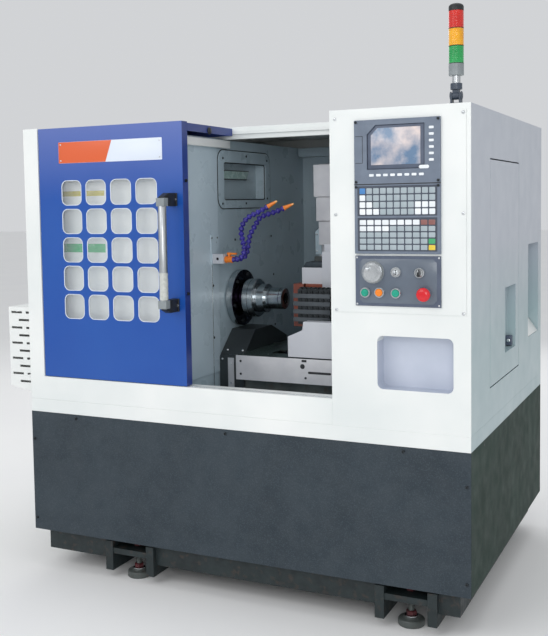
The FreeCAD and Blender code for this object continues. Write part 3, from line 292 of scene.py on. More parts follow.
@dataclass(frozen=True)
class Steel(Finish):
    """Machined or rolled steel: fine lines along one axis, with dull and bright areas."""

    roughness: float = 0.3
    line: float = 1.6
    stretch: Point = (0.03, 1.0, 1.0)
    line_depth: float = 0.012
    line_dulling: float = 0.14
    metallic: float = 1.0

    def build(self) -> Surface:
        """Drawn-out lines in the shine and the relief, wide patches in the colour."""
        surface = Surface(self.name, Metallic=self.metallic)
        lines = surface.patches(self.line, 0.0, 1.0, detail=2.0, stretch=self.stretch)
        stain = surface.patches(70.0, 0.0, 0.8, detail=4.0)
        dull = surface.patches(50.0, self.roughness - 0.1, self.roughness + 0.02)
        shine = add(surface.tree, "ShaderNodeMath", {0: lines, 1: self.line_dulling, 2: dull},
                    operation="MULTIPLY_ADD")
        return surface.skin(surface.colours(stain, self.colour, self.shade), shine.outputs[0], lines,
                            self.line_depth)


@dataclass(frozen=True)
class CastIron(Finish):
    """Sand-cast iron under thin paint or oil: a grainy skin with darker hollows and rust-brown spots."""

    roughness: float = 0.55
    grain: float = 5.0
    grain_depth: float = 0.3
    spot: str = "#4A3B33"

    def build(self) -> Surface:
        """Grain in the relief, dark hollows and a few spots in the colour."""
        surface = Surface(self.name, Metallic=0.1)
        base = surface.colours(surface.patches(60.0, 0.0, 1.0, detail=6.0), self.colour, self.shade)
        return surface.skin(surface.colours(surface.patches(24.0, -0.9, 0.5, detail=5.0), base, self.spot),
                            surface.patches(30.0, self.roughness - 0.12, self.roughness + 0.12),
                            surface.patches(self.grain, 0.0, 1.0, detail=3.0), self.grain_depth)


@dataclass(frozen=True)
class Moulded(Finish):
    """Injection-moulded plastic: a fine spark-eroded grain and an even, slightly waxy shine."""

    roughness: float = 0.42
    grain: float = 1.2
    grain_depth: float = 0.015
    see_through: float = 0.0

    def build(self) -> Surface:
        """Grain in the relief and a slow drift in colour and shine."""
        surface = Surface(self.name, Metallic=0.0, Subsurface_Weight=self.see_through,
                          Subsurface_Radius=(0.01, 0.01, 0.01), Subsurface_Scale=0.4)
        return surface.skin(surface.colours(surface.patches(35.0, 0.0, 1.0), self.colour, self.shade),
                            surface.patches(14.0, self.roughness - 0.05, self.roughness + 0.07),
                            surface.patches(self.grain, 0.0, 1.0, detail=1.0), self.grain_depth)


@dataclass(frozen=True)
class Film(Finish):
    """Printed or protective polyester film: a satin skin with long shallow ripples that catch the light, and pale
    patches of painted glare in its colour.
    """

    roughness: float = 0.3
    ripple: float = 60.0
    ripple_depth: float = 0.4

    def build(self) -> Surface:
        """Ripples in the relief and pale patches of painted glare in the colour."""
        surface = Surface(self.name, Metallic=0.0, Coat_Weight=0.5, Coat_Roughness=0.12)
        painted_glare = surface.patches(self.ripple, -0.2, 1.0, detail=4.0)
        return surface.skin(surface.colours(painted_glare, self.colour, self.shade),
                            surface.patches(20.0, self.roughness - 0.08, self.roughness + 0.1),
                            surface.patches(self.ripple, 0.0, 1.0, detail=3.0), self.ripple_depth)


@dataclass(frozen=True)
class ClearSheet(Finish):
    """Clear polycarbonate or glass: almost all light passes, with a glossy face and a few wiped smears."""

    alpha: float = 0.14
    roughness: float = 0.04
    wave_depth: float = 0.1

    def build(self) -> Surface:
        """Smears in the shine and a slightly uneven clearness."""
        surface = Surface(self.name, Alpha=self.alpha, Metallic=0.0, IOR=1.58)
        smears = surface.patches(60.0, self.roughness, self.roughness + 0.12, detail=5.0,
                                 stretch=(0.3, 1.0, 1.0))
        return surface.skin(surface.colours(surface.patches(80.0, 0.0, 1.0), self.colour, self.shade), smears,
                            surface.patches(150.0, 0.0, 1.0, detail=1.0), self.wave_depth)


# White enamel of the cabinet: bright, even, only faintly clouded.
WHITE = Enamel("white_enamel", "white_paint", "#ECEEEC", "#DDE2E1")
# White enamel on the right side sheets, painted darker and cooler as the shade of that side, and paler towards the
# top as painted light.
SIDE_WHITE_SHADED = Enamel("white_enamel_side", "white_paint", "#A9BCC0", "#9DB2B6", cloud=420.0, painted_top_light="#B4BAC4",
                    painted_light_from=880.0, painted_light_to=1180.0)
# White enamel inside the niche, painted darker and lilac as the shade inside the recess.
NICHE_WHITE_SHADED = Enamel("lilac_white_enamel", "white_paint", "#C6CCDA", "#B9C1D0", cloud=120.0)
# Blue door enamel: deep and glossy, a little paler in wide clouds, and painted paler and more violet towards the
# top as a painted reflection.
BLUE = Enamel("blue_enamel", "blue_paint", "#06489F", "#1450A4", roughness=0.34, painted_top_light="#586CAE")
# Blue on the door's right folded edge, painted darker and more violet as the shade of the face turned away from the
# light.
BLUE_EDGE_SHADED = Enamel("blue_enamel_edge", "blue_paint", "#1A2F77", "#24408C", roughness=0.34)
# Grey chamber enamel: satin, stained by coolant mist.
CHAMBER = Enamel("chamber_enamel", "grey_paint", "#B4C6D0", "#A2B4BD", roughness=0.3, cloud=380.0)
# Paler grey enamel on the folded front sheet of the chamber.
CHAMBER_LIGHT = Enamel("chamber_enamel_light", "grey_paint", "#C0D0DA", "#B2C4CE", roughness=0.3)
# Slate structure coat of the front and rear skirts.
SLATE_COAT = StructureCoat("slate_structure_coat", "dark_paint", "#27323A", "#303B43")
# Side skirts' structure coat, painted darker and greener than the slate skirts: painted shade of the sides and a
# painted green reflection.
SIDE_COAT_SHADE_AND_REFLECTION = StructureCoat("green_structure_coat", "dark_paint", "#0C261C", "#153127", speck="#23423A")
# Painted cast and welded base, dark green-grey with dirt in its grain.
BASE_IRON = CastIron("painted_base_iron", "base_iron", "#242F31", "#1D2628")
# Bare cast iron of feet, bed and headstock.
BARE_IRON = CastIron("bare_cast_iron", "foot_iron", "#5C6260", "#454B4A", roughness=0.45)
# Red-brown primer on the foot nuts, oily and chipped.
PRIMED = CastIron("red_brown_primer", "foot_iron", "#5A2227", "#3E1B1F", roughness=0.4, spot="#2A2526")
# Zinc-plated or bright-turned steel of studs, nuts and small screws.
BRIGHT = Steel("bright_turned_steel", "bright_steel", "#DADDDF", "#BABEC1", roughness=0.24, line=1.0,
               stretch=(1.0, 1.0, 1.0))
# Rolled stainless sheet of the way cover and the telescopic covers, brushed along X.
STAINLESS = Steel("stainless_sheet", "bright_steel", "#D6D6D9", "#C2C3C8", roughness=0.4, metallic=0.55)
# Ground spindle steel, reflecting the dark chamber around it.
SPINDLE_STEEL = Steel("ground_spindle_steel", "polished_steel", "#C2C8CB", "#A3AAAE", roughness=0.16, line=2.2,
                      stretch=(1.0, 0.05, 0.05), line_depth=0.003)
# Blackened steel of the cover disc and the dark spindle steps, oily; its violet cast is a painted reflection of the
# copper-brown tool carrier.
BLACKENED = Steel("blackened_steel", "polished_steel", "#3B3A48", "#33283A", roughness=0.22, line=2.2,
                  stretch=(1.0, 0.05, 0.05), line_depth=0.003)
# Pale grey enamel of the carriage cover and the clamp block.
PALE_GREY = Enamel("pale_grey_enamel", "grey_paint", "#C6C8CE", "#B8BBC2", roughness=0.42)
# Black enamel of the folded chip guard: satin with coolant smears.
BLACK_ENAMEL = Enamel("black_enamel", "black_steel", "#23282B", "#30373A", roughness=0.34, marks=0.5)
# Black oxide on screws, brackets and the gang block.
BLACK_OXIDE = Steel("black_oxide_steel", "black_steel", "#2A2E31", "#3A3F43", roughness=0.42, metallic=0.6)
# Tempered tool shanks: dull grey under a film of oil.
TOOL_STEEL = Steel("tempered_tool_steel", "polished_steel", "#5E6469", "#4A4F54", roughness=0.34,
                   metallic=0.7)
# Dark wet lid over the ways, green-black with oil.
OILED_LID = Enamel("oiled_dark_sheet", "dark_paint", "#2C3836", "#3A4745", roughness=0.22, cloud=120.0,
                   marks=0.5)
# Copper-brown lacquered tool carrier.
COPPER = Enamel("copper_brown_lacquer", "copper_brown", "#8E4630", "#6C3427", roughness=0.3, cloud=60.0,
                marks=0.3)
# Drawn and anodised aluminium tube with fine lines along its length.
SILVER_TUBE = Steel("anodised_aluminium_tube", "silver_tube", "#C4C7C9", "#A9ADB0", roughness=0.34,
                    stretch=(1.0, 1.0, 0.03))
# Glass-filled nylon of handle brackets, bumpers and feet.
BLACK_NYLON = Moulded("black_nylon", "black_plastic", "#16181B", "#222529", roughness=0.48)
# Blue-black nylon of the signal tower's folding joint.
KNUCKLE = Moulded("blue_black_nylon", "black_plastic", "#39424F", "#434D5B", roughness=0.4)
# Grey caps and small covers.
GREY_CAP = Moulded("grey_cap_plastic", "grey_plastic", "#7E8588", "#8C9396")
# Slate ABS housing of the controller and the operator panel.
SLATE_ABS = Moulded("slate_abs", "controller_plastic", "#667181", "#707B8B", roughness=0.46)
# Darker slate of the frames and edges around the panels.
DARK_ABS = Moulded("dark_slate_abs", "controller_plastic", "#4B5466", "#555F72", roughness=0.46)
# Printed slate film of the operator panel.
SLATE_FILM = Film("slate_panel_film", "panel_film", "#56616F", "#606B79", roughness=0.4, ripple_depth=0.1)
# Dark printed field behind the keys.
KEY_FIELD = Film("dark_key_field", "panel_film", "#3A4250", "#454D5C", roughness=0.4, ripple_depth=0.05)
# Keys: embossed polyester domes in their plain colours.
KEY_WHITE = Moulded("white_key", "panel_film", "#EDF1F4", "#E0E6EA", roughness=0.35)
KEY_GREY = Moulded("grey_key", "panel_film", "#A9B5BB", "#9CA9B0", roughness=0.35)
KEY_BLUE = Moulded("blue_key", "panel_film", "#4B8BCB", "#437EBB", roughness=0.35)
KEY_BROWN = Moulded("brown_key", "panel_film", "#94635F", "#855854", roughness=0.35)
KEY_GREEN = Moulded("green_key", "panel_film", "#46A872", "#3E9866", roughness=0.35)
KEY_YELLOW = Moulded("yellow_key", "panel_film", "#E6CB45", "#D9BD3C", roughness=0.35)
# Switched-off display behind its peeling cover film: blue-grey with pale, slightly pink painted glare.
SCREEN = Film("display_cover_film", "panel_film", "#66819F", "#E8D8D2", roughness=0.2, ripple=62.0)
# Orange and pale fields of the plain sign, printed aluminium.
SIGN_ORANGE = Enamel("sign_orange", "sign_face", "#DC6234", "#D45C30", roughness=0.38)
SIGN_PALE = Enamel("sign_pale", "sign_face", "#DCE4F1", "#D2DBE9", roughness=0.38)
# Plain coloured bands on the fixed panel behind the windows.
BAND_YELLOW = Film("yellow_band_film", "sign_face", "#C9BB45", "#BBAE40", ripple_depth=0.1)
BAND_GREEN = Film("green_band_film", "sign_face", "#33B06C", "#2FA564", ripple_depth=0.1)
# Clear polycarbonate of the door's pane.
PANE = ClearSheet("polycarbonate_pane", "clear_pane", "#E6EEF2", "#DCE6EA", alpha=0.1)
# Wrinkled film left on the handle's lower end.
TUBE_WRAP = Film("wrinkled_tube_wrap", "clear_pane", "#C9CBC6", "#B4B8B2", roughness=0.45, ripple=9.0,
                 ripple_depth=0.5)
# Thin clear glass of the hatch, cleaner than the door's pane.
HATCH_GLASS = ClearSheet("hatch_glass", "clear_pane", "#DDE8EA", "#D2DFE2", alpha=0.04)
# Teal diffuser of the chamber lamp.
LAMP_GLASS = Film("lamp_cover", "clear_pane", "#A9C4BE", "#93B0AA", roughness=0.25, ripple_depth=0.1)
# Pale silicone seal in each window's edge.
SEAL = Moulded("pale_silicone_seal", "grey_plastic", "#E3E9EF", "#D5DCE4", roughness=0.5)
# Acetal hose segments: deep violet blue and shiny.
HOSE = Moulded("violet_acetal", "hose_plastic", "#2A2078", "#3A3298", roughness=0.14, see_through=0.1)
# Orange acetal of nozzles and valve.
ORANGE = Moulded("orange_acetal", "hose_plastic", "#F0892E", "#E67D24", roughness=0.3, see_through=0.1)
ORANGE_TIP = Moulded("pale_orange_tip", "hose_plastic", "#F6BE7C", "#F0AE66", roughness=0.3, see_through=0.1)
# Push button caps and the mushroom head: glossy urea resin.
STOP_RED = Moulded("red_button_resin", "red_plastic", "#E0262F", "#D01F29", roughness=0.16)
BUTTON_GREEN = Moulded("green_button_resin", "green_plastic", "#1FA287", "#1A9179", roughness=0.2)
BUTTON_AMBER = Moulded("amber_button_resin", "amber_plastic", "#F58A2A", "#E97E20", roughness=0.2)
# Signal tower lenses: ribbed acrylic, unlit.
LENS_RED = Moulded("red_lens_acrylic", "signal_plastic", "#D8362C", "#C32A22", roughness=0.14,
                   see_through=0.3)
LENS_AMBER = Moulded("amber_lens_acrylic", "signal_plastic", "#F0B02A", "#E39F1E", roughness=0.14,
                     see_through=0.3)
LENS_GREEN = Moulded("green_lens_acrylic", "signal_plastic", "#2FA55A", "#27924E", roughness=0.14,
                     see_through=0.3)
# Rubber of the belt and seams.
RUBBER = Moulded("black_rubber", "belt_rubber", "#1B1C1E", "#26282A", roughness=0.7)


# ------------------------------------------------------------------ shapes
def rounded(x0: float, z0: float, x1: float, z1: float, radius: float, steps: int = 6) -> list[Flat]:
    """Outline of a rectangle with round corners.

    Args:
        x0, z0: lower left corner.
        x1, z1: upper right corner.
        radius: corner radius.
        steps: points in each corner's arc.

    Returns:
        The outline's points, anticlockwise.
    """
    points = []
    for cx, cz, start in ((x1 - radius, z0 + radius, -90), (x1 - radius, z1 - radius, 0),
                          (x0 + radius, z1 - radius, 90), (x0 + radius, z0 + radius, 180)):
        for step in range(steps + 1):
            angle = math.radians(start + 90 * step / steps)
            points.append((cx + radius * math.cos(angle), cz + radius * math.sin(angle)))
    return points


def settle(mesh: bpy.types.Mesh, sharp: float = 32.0) -> None:
    """Shade a mesh smooth except across edges sharper than an angle in degrees."""
    work = bmesh.new()
    work.from_mesh(mesh)
    for face in work.faces:
        face.smooth = True
    for edge in work.edges:
        edge.smooth = len(edge.link_faces) == 2 and edge.calc_face_angle(0.0) < math.radians(sharp)
    work.to_mesh(mesh)
    work.free()


def shown(name: str, mesh: bpy.types.Mesh) -> bpy.types.Object:
    """A new object in the scene that holds a mesh."""
    obj = bpy.data.objects.new(name, mesh)
    bpy.context.scene.collection.objects.link(obj)
    return obj


def register(obj: bpy.types.Object, body: str,
             stands_for: tuple[str, ...] = ()) -> bpy.types.Object:
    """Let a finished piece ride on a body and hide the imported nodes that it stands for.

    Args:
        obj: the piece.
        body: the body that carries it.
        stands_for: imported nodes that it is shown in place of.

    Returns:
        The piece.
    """
    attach(obj, body)
    if stands_for:
        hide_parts(*stands_for)
    return obj


def evaluated_mesh(obj: bpy.types.Object) -> bpy.types.Mesh:
    """A plain mesh of an object with its modifiers applied."""
    bpy.context.view_layer.update()
    graph = bpy.context.evaluated_depsgraph_get()
    return bpy.data.meshes.new_from_object(obj.evaluated_get(graph), preserve_all_data_layers=True,
                                           depsgraph=graph)


class Shape:
    """A piece under construction, in cabinet millimetres, all in one finish."""

    def __init__(self, name: str, finish: Finish) -> None:
        """Start with an empty mesh."""
        self.name, self.finish, self.mesh = name, finish, bmesh.new()

    def rim(self, edges: set[bmesh.types.BMEdge], radius: float, segments: int) -> None:
        """Round edges by a radius."""
        bmesh.ops.bevel(self.mesh, geom=list(edges), offset=radius, segments=segments, affect="EDGES",
                        profile=0.5)

    def block(self, low: Point, high: Point, edge: float = 0.0) -> "Shape":
        """Add a block between two corners, with its edges rounded by a radius."""
        matrix = Matrix.Translation((Vector(low) + Vector(high)) / 2) @ Matrix.Diagonal(
            (*(Vector(high) - Vector(low)), 1.0))
        made = bmesh.ops.create_cube(self.mesh, size=1.0, matrix=matrix)
        if edge:
            self.rim({side for vert in made["verts"] for side in vert.link_edges}, edge, 3)
        return self

    def turned(self, axis: Axis, centre: Point, profile: list[Flat], sides: int = 48) -> "Shape":
        """Add a turned solid.

        Args:
            axis: direction of the turning axis.
            centre: point on the axis that the profile starts from.
            profile: pairs of distance along the axis and radius; a radius of zero is a pole.
            sides: number of flats round the axis.

        Returns:
            The shape, for more pieces.
        """
        rings = []
        angles = [math.tau * step / sides for step in range(sides)]
        turns = [(math.cos(angle), math.sin(angle)) for angle in angles]
        for along, radius in profile:
            around = [(radius * first, radius * second) for first, second in turns] if radius > 0 else [(0, 0)]
            rings.append([self.mesh.verts.new(Vector(centre) + axis.point(along, *spot)) for spot in around])
        for first, second in zip(rings, rings[1:]):
            for step in range(sides):
                after = (step + 1) % sides
                corners = [first[step % len(first)], first[after % len(first)],
                           second[after % len(second)], second[step % len(second)]]
                self.mesh.faces.new(list(dict.fromkeys(corners)))
        for ring in (rings[0], rings[-1]):
            if len(ring) > 1:
                self.mesh.faces.new(ring)
        return self

    def plate(self, axis: Axis, outline: list[Flat], low: float, high: float, edge: float = 0.0) -> "Shape":
        """Add an extruded outline between two places along an axis, with its rim rounded by a radius."""
        loops = [[self.mesh.verts.new(axis.point(along, *point)) for point in outline]
                 for along in (low, high)]
        caps = [self.mesh.faces.new(loop) for loop in loops]
        for step in range(len(outline)):
            after = (step + 1) % len(outline)
            self.mesh.faces.new([loops[0][step], loops[0][after], loops[1][after], loops[1][step]])
        if edge:
            self.rim({side for face in caps for side in face.edges}, edge, 2)
        return self

    def ring(self, axis: Axis, outer: list[Flat], inner: list[Flat], low: float, high: float) -> "Shape":
        """Add a frame between two outlines with equal numbers of points."""
        loops = [[self.mesh.verts.new(axis.point(along, *point)) for point in outline]
                 for outline, along in ((outer, low), (inner, low), (inner, high), (outer, high))]
        for first, second in zip(loops, loops[1:] + loops[:1]):
            for step in range(len(outer)):
                after = (step + 1) % len(outer)
                self.mesh.faces.new([first[step], first[after], second[after], second[step]])
        return self

    def plain(self, moved: bool = True) -> bpy.types.Object:
        """An object with the shape's mesh, in metres, at its place in the row frame if moved."""
        bmesh.ops.recalc_face_normals(self.mesh, faces=self.mesh.faces)
        mesh = bpy.data.meshes.new(self.name)
        self.mesh.to_mesh(mesh)
        self.mesh.free()
        mesh.transform(Matrix.Scale(MM, 4))
        if moved:
            mesh.transform(Matrix.Translation((CORNER.x, CORNER.y, 0)))
        settle(mesh)
        mesh.materials.append(self.finish.make())
        return shown(self.name, mesh)

    def done(self, body: str = "cabinet", *stands_for: str) -> bpy.types.Object:
        """Finish the piece on a body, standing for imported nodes."""
        return register(self.plain(), body, stands_for)


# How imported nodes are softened: the distance in metres within which corners merge, and the angles in degrees
# up to which faces count as flat, from which edges are rounded and from which they shade sharp.
MERGE = 2e-6
FLAT_WITHIN = 0.5
ROUNDED_FROM = 40.0
SHARP_FROM = 28.0


def softened(node: str, finish: Finish, edge: float = 1.0,
             areas: tuple[tuple[Finish, Point, Point], ...] = ()) -> bpy.types.Object:
    """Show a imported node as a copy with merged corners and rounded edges.

    Args:
        node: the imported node.
        finish: its main finish.
        edge: radius of the rounded edges in millimetres.
        areas: other finishes, each with the two corners of the box whose faces it covers.

    Returns:
        The copy, which stands for the node.
    """
    work = bmesh.new()
    work.from_mesh(frame["nodes"][node].data)
    bmesh.ops.remove_doubles(work, verts=work.verts, dist=MERGE)
    bmesh.ops.dissolve_limit(work, angle_limit=math.radians(FLAT_WITHIN), verts=work.verts, edges=work.edges)
    mesh = bpy.data.meshes.new(node)
    work.to_mesh(mesh)
    work.free()
    mesh.materials.clear()
    source = shown(f"{node}_source", mesh)
    bevel = source.modifiers.new("rounded", "BEVEL")
    bevel.width, bevel.segments, bevel.limit_method = edge * MM, 2, "ANGLE"
    bevel.angle_limit = math.radians(ROUNDED_FROM)
    weight = source.modifiers.new("even", "WEIGHTED_NORMAL")
    weight.keep_sharp = True
    settle(mesh, SHARP_FROM)
    result = evaluated_mesh(source)
    bpy.data.objects.remove(source)
    result.materials.append(finish.make())
    for index, (other, low, high) in enumerate(areas, start=1):
        result.materials.append(other.make())
        inside = [at(*low), at(*high)]
        for face in result.polygons:
            if all(inside[0][k] <= face.center[k] <= inside[1][k] for k in range(3)):
                face.material_index = index
    result.name = f"{node}_skin"
    return register(shown(f"{node}_skin", result), BODY_OF[node], (node,))


def dressed(finish: Finish, *nodes: str) -> None:
    """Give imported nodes, whose shape stays, a finish."""
    for node in nodes:
        mesh = frame["nodes"][node].data
        mesh.materials.clear()
        mesh.materials.append(finish.make())


# ------------------------------------------------------------------ what repeats
class Repeat(Enum):
    """Named options of the repeating trees: where the copies stand."""

    SPOTS = "spots"
    GRID = "grid"
    RING = "ring"
    PATH = "path"


def repeat_tree(kind: Repeat) -> bpy.types.NodeTree:
    """Geometry Nodes tree that puts a template on spots, a grid, a ring or a path.

    Args:
        kind: where the copies stand.

    Returns:
        The tree, built once for each kind.
    """
    name = f"repeat_on_{kind.value}"
    if name in bpy.data.node_groups:
        return bpy.data.node_groups[name]
    tree = bpy.data.node_groups.new(name, "GeometryNodeTree")
    face = tree.interface
    face.new_socket("Geometry", in_out="INPUT", socket_type="NodeSocketGeometry")
    sockets = [("Template", "NodeSocketObject"), ("Material", "NodeSocketMaterial")]
    sockets += {
        Repeat.SPOTS: [],
        Repeat.GRID: [("Columns", "NodeSocketInt"), ("Rows", "NodeSocketInt"),
                      ("Pitch X", "NodeSocketFloat"), ("Pitch Z", "NodeSocketFloat")],
        Repeat.RING: [("Count", "NodeSocketInt"), ("Radius", "NodeSocketFloat")],
        Repeat.PATH: [("Count", "NodeSocketInt")],
    }[kind]
    for label, socket in sockets:
        face.new_socket(label, in_out="INPUT", socket_type=socket)
    face.new_socket("Geometry", in_out="OUTPUT", socket_type="NodeSocketGeometry")
    given = add(tree, "NodeGroupInput").outputs
    template = add(tree, "GeometryNodeObjectInfo", {"Object": given["Template"]})
    if kind is Repeat.SPOTS:
        turn = add(tree, "GeometryNodeInputNamedAttribute", {"Name": "turn"}, data_type="FLOAT_VECTOR")
        points, rotation = given["Geometry"], turn.outputs["Attribute"]
    elif kind is Repeat.GRID:
        spread = []
        for count, pitch in (("Columns", "Pitch X"), ("Rows", "Pitch Z")):
            gaps = add(tree, "ShaderNodeMath", {0: given[count], 1: 1.0}, operation="SUBTRACT")
            reach = add(tree, "ShaderNodeMath", {0: gaps.outputs[0], 1: given[pitch]}, operation="MULTIPLY")
            spread.append(reach.outputs[0])
        grid = add(tree, "GeometryNodeMeshGrid", {
            "Size X": spread[0], "Size Y": spread[1],
            "Vertices X": given["Columns"], "Vertices Y": given["Rows"]})
        upright = add(tree, "GeometryNodeTransform", {
            "Geometry": grid.outputs["Mesh"], "Rotation": (math.pi / 2, 0.0, 0.0)})
        points, rotation = upright.outputs["Geometry"], None
    elif kind is Repeat.RING:
        circle = add(tree, "GeometryNodeCurvePrimitiveCircle", {
            "Resolution": given["Count"], "Radius": given["Radius"]})
        spots = add(tree, "GeometryNodeCurveToPoints", {"Curve": circle.outputs["Curve"]}, mode="EVALUATED")
        points, rotation = spots.outputs["Points"], spots.outputs["Rotation"]
    else:
        spots = add(tree, "GeometryNodeCurveToPoints", {
            "Curve": given["Geometry"], "Count": given["Count"]}, mode="COUNT")
        points, rotation = spots.outputs["Points"], spots.outputs["Rotation"]
    inputs = {"Points": points, "Instance": template.outputs["Geometry"]}
    if rotation is not None:
        inputs["Rotation"] = rotation
    copies = add(tree, "GeometryNodeInstanceOnPoints", inputs)
    solid = add(tree, "GeometryNodeRealizeInstances", {"Geometry": copies.outputs["Instances"]})
    finished = add(tree, "GeometryNodeSetMaterial", {
        "Geometry": solid.outputs["Geometry"], "Material": given["Material"]})
    add(tree, "NodeGroupOutput", {"Geometry": finished.outputs["Geometry"]})
    return tree


def repeated(kind: Repeat, base: bpy.types.Object, template: Shape, body: str, place: Matrix | None = None,
             stands_for: tuple[str, ...] = (), **values: float) -> bpy.types.Object:
    """Copies of a template as one plain piece.

    Args:
        kind: where the copies stand.
        base: object whose spots or path the tree reads; it is used up.
        template: the repeated shape, centred on zero; it is used up.
        body: the body that carries the copies.
        place: transform of the finished mesh in the row frame.
        stands_for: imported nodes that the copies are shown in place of.
        values: the tree's other inputs, with underscores for spaces.

    Returns:
        The finished piece.
    """
    name, finish = template.name, template.finish
    pattern = template.plain(moved=False)
    pattern.name = f"{name}_template"
    tree = repeat_tree(kind)
    modifier = base.modifiers.new("repeat", "NODES")
    modifier.node_group = tree
    given = {"Template": pattern, "Material": finish.make()}
    given |= {key.replace("_", " "): value for key, value in values.items()}
    for item in tree.interface.items_tree:
        if item.in_out == "INPUT" and item.name in given:
            modifier[item.identifier] = given[item.name]
    mesh = evaluated_mesh(base)
    mesh.transform(place or Matrix.Identity(4))
    bpy.data.objects.remove(base)
    bpy.data.objects.remove(pattern)
    settle(mesh)
    mesh.name = name
    return register(shown(name, mesh), body, stands_for)


QUARTER = math.pi / 2
# Rise and run of the chip guard's sloping face.
SLOPE = math.atan2(89, 103)
# Turns that bring a template's Z axis to a named direction; no name keeps the template as it was drawn.
TURN_TO = {"": (0.0, 0.0, 0.0), "+Z": (0.0, 0.0, 0.0), "slope": (SLOPE, 0.0, 0.0),
           "-Y": (QUARTER, 0.0, 0.0), "+Y": (-QUARTER, 0.0, 0.0),
           "+X": (0.0, QUARTER, 0.0), "-X": (0.0, -QUARTER, 0.0)}


def spots(places: list[Spot]) -> bpy.types.Object:
    """Points for a repeating tree, each with the direction that its copy's own Z axis faces."""
    mesh = bpy.data.meshes.new("spots")
    mesh.from_pydata([at(*place[:3]) for place in places], [], [])
    turn = mesh.attributes.new("turn", "FLOAT_VECTOR", "POINT")
    for index, place in enumerate(places):
        turn.data[index].vector = TURN_TO[place[3]]
    return shown("spots", mesh)


class Head(Enum):
    """Screw head kinds, as profiles of height and radius for a head of radius one."""

    SOCKET = ((0, 0), (0, 1), (0.9, 1), (1, 0.9), (1, 0.55), (0.45, 0.5), (0.45, 0))
    PAN = ((0, 0), (0, 1), (0.25, 0.97), (0.45, 0.8), (0.55, 0.5), (0.55, 0.28), (0.3, 0.25), (0.3, 0))
    FLUSH = ((0, 0), (0, 1), (0.05, 0.97), (0.07, 0.9), (0.07, 0.42), (0.02, 0.38), (0.02, 0))
    RIVET = ((0, 0), (0, 1), (0.2, 0.92), (0.38, 0.7), (0.48, 0.35), (0.5, 0))


def screws(name: str, finish: Finish, head: Head, radius: float, body: str,
           places: list[Spot], stands_for: tuple[str, ...] = ()) -> bpy.types.Object:
    """Screw heads or rivets on given spots.

    Args:
        name: the piece's name.
        finish: its finish.
        head: the kind of head.
        radius: head radius in millimetres.
        body: the body that carries them.
        places: cabinet places, each with the direction that the head faces.
        stands_for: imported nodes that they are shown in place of.

    Returns:
        All the heads as one piece.
    """
    profile = [(height * radius, across * radius) for height, across in head.value]
    template = Shape(name, finish).turned(Axis.Z, (0, 0, 0), profile, sides=16)
    return repeated(Repeat.SPOTS, spots(places), template, body, stands_for=stands_for)


def empty_base() -> bpy.types.Object:
    """A base with no geometry, for trees that make their own points."""
    return shown("base", bpy.data.meshes.new("base"))


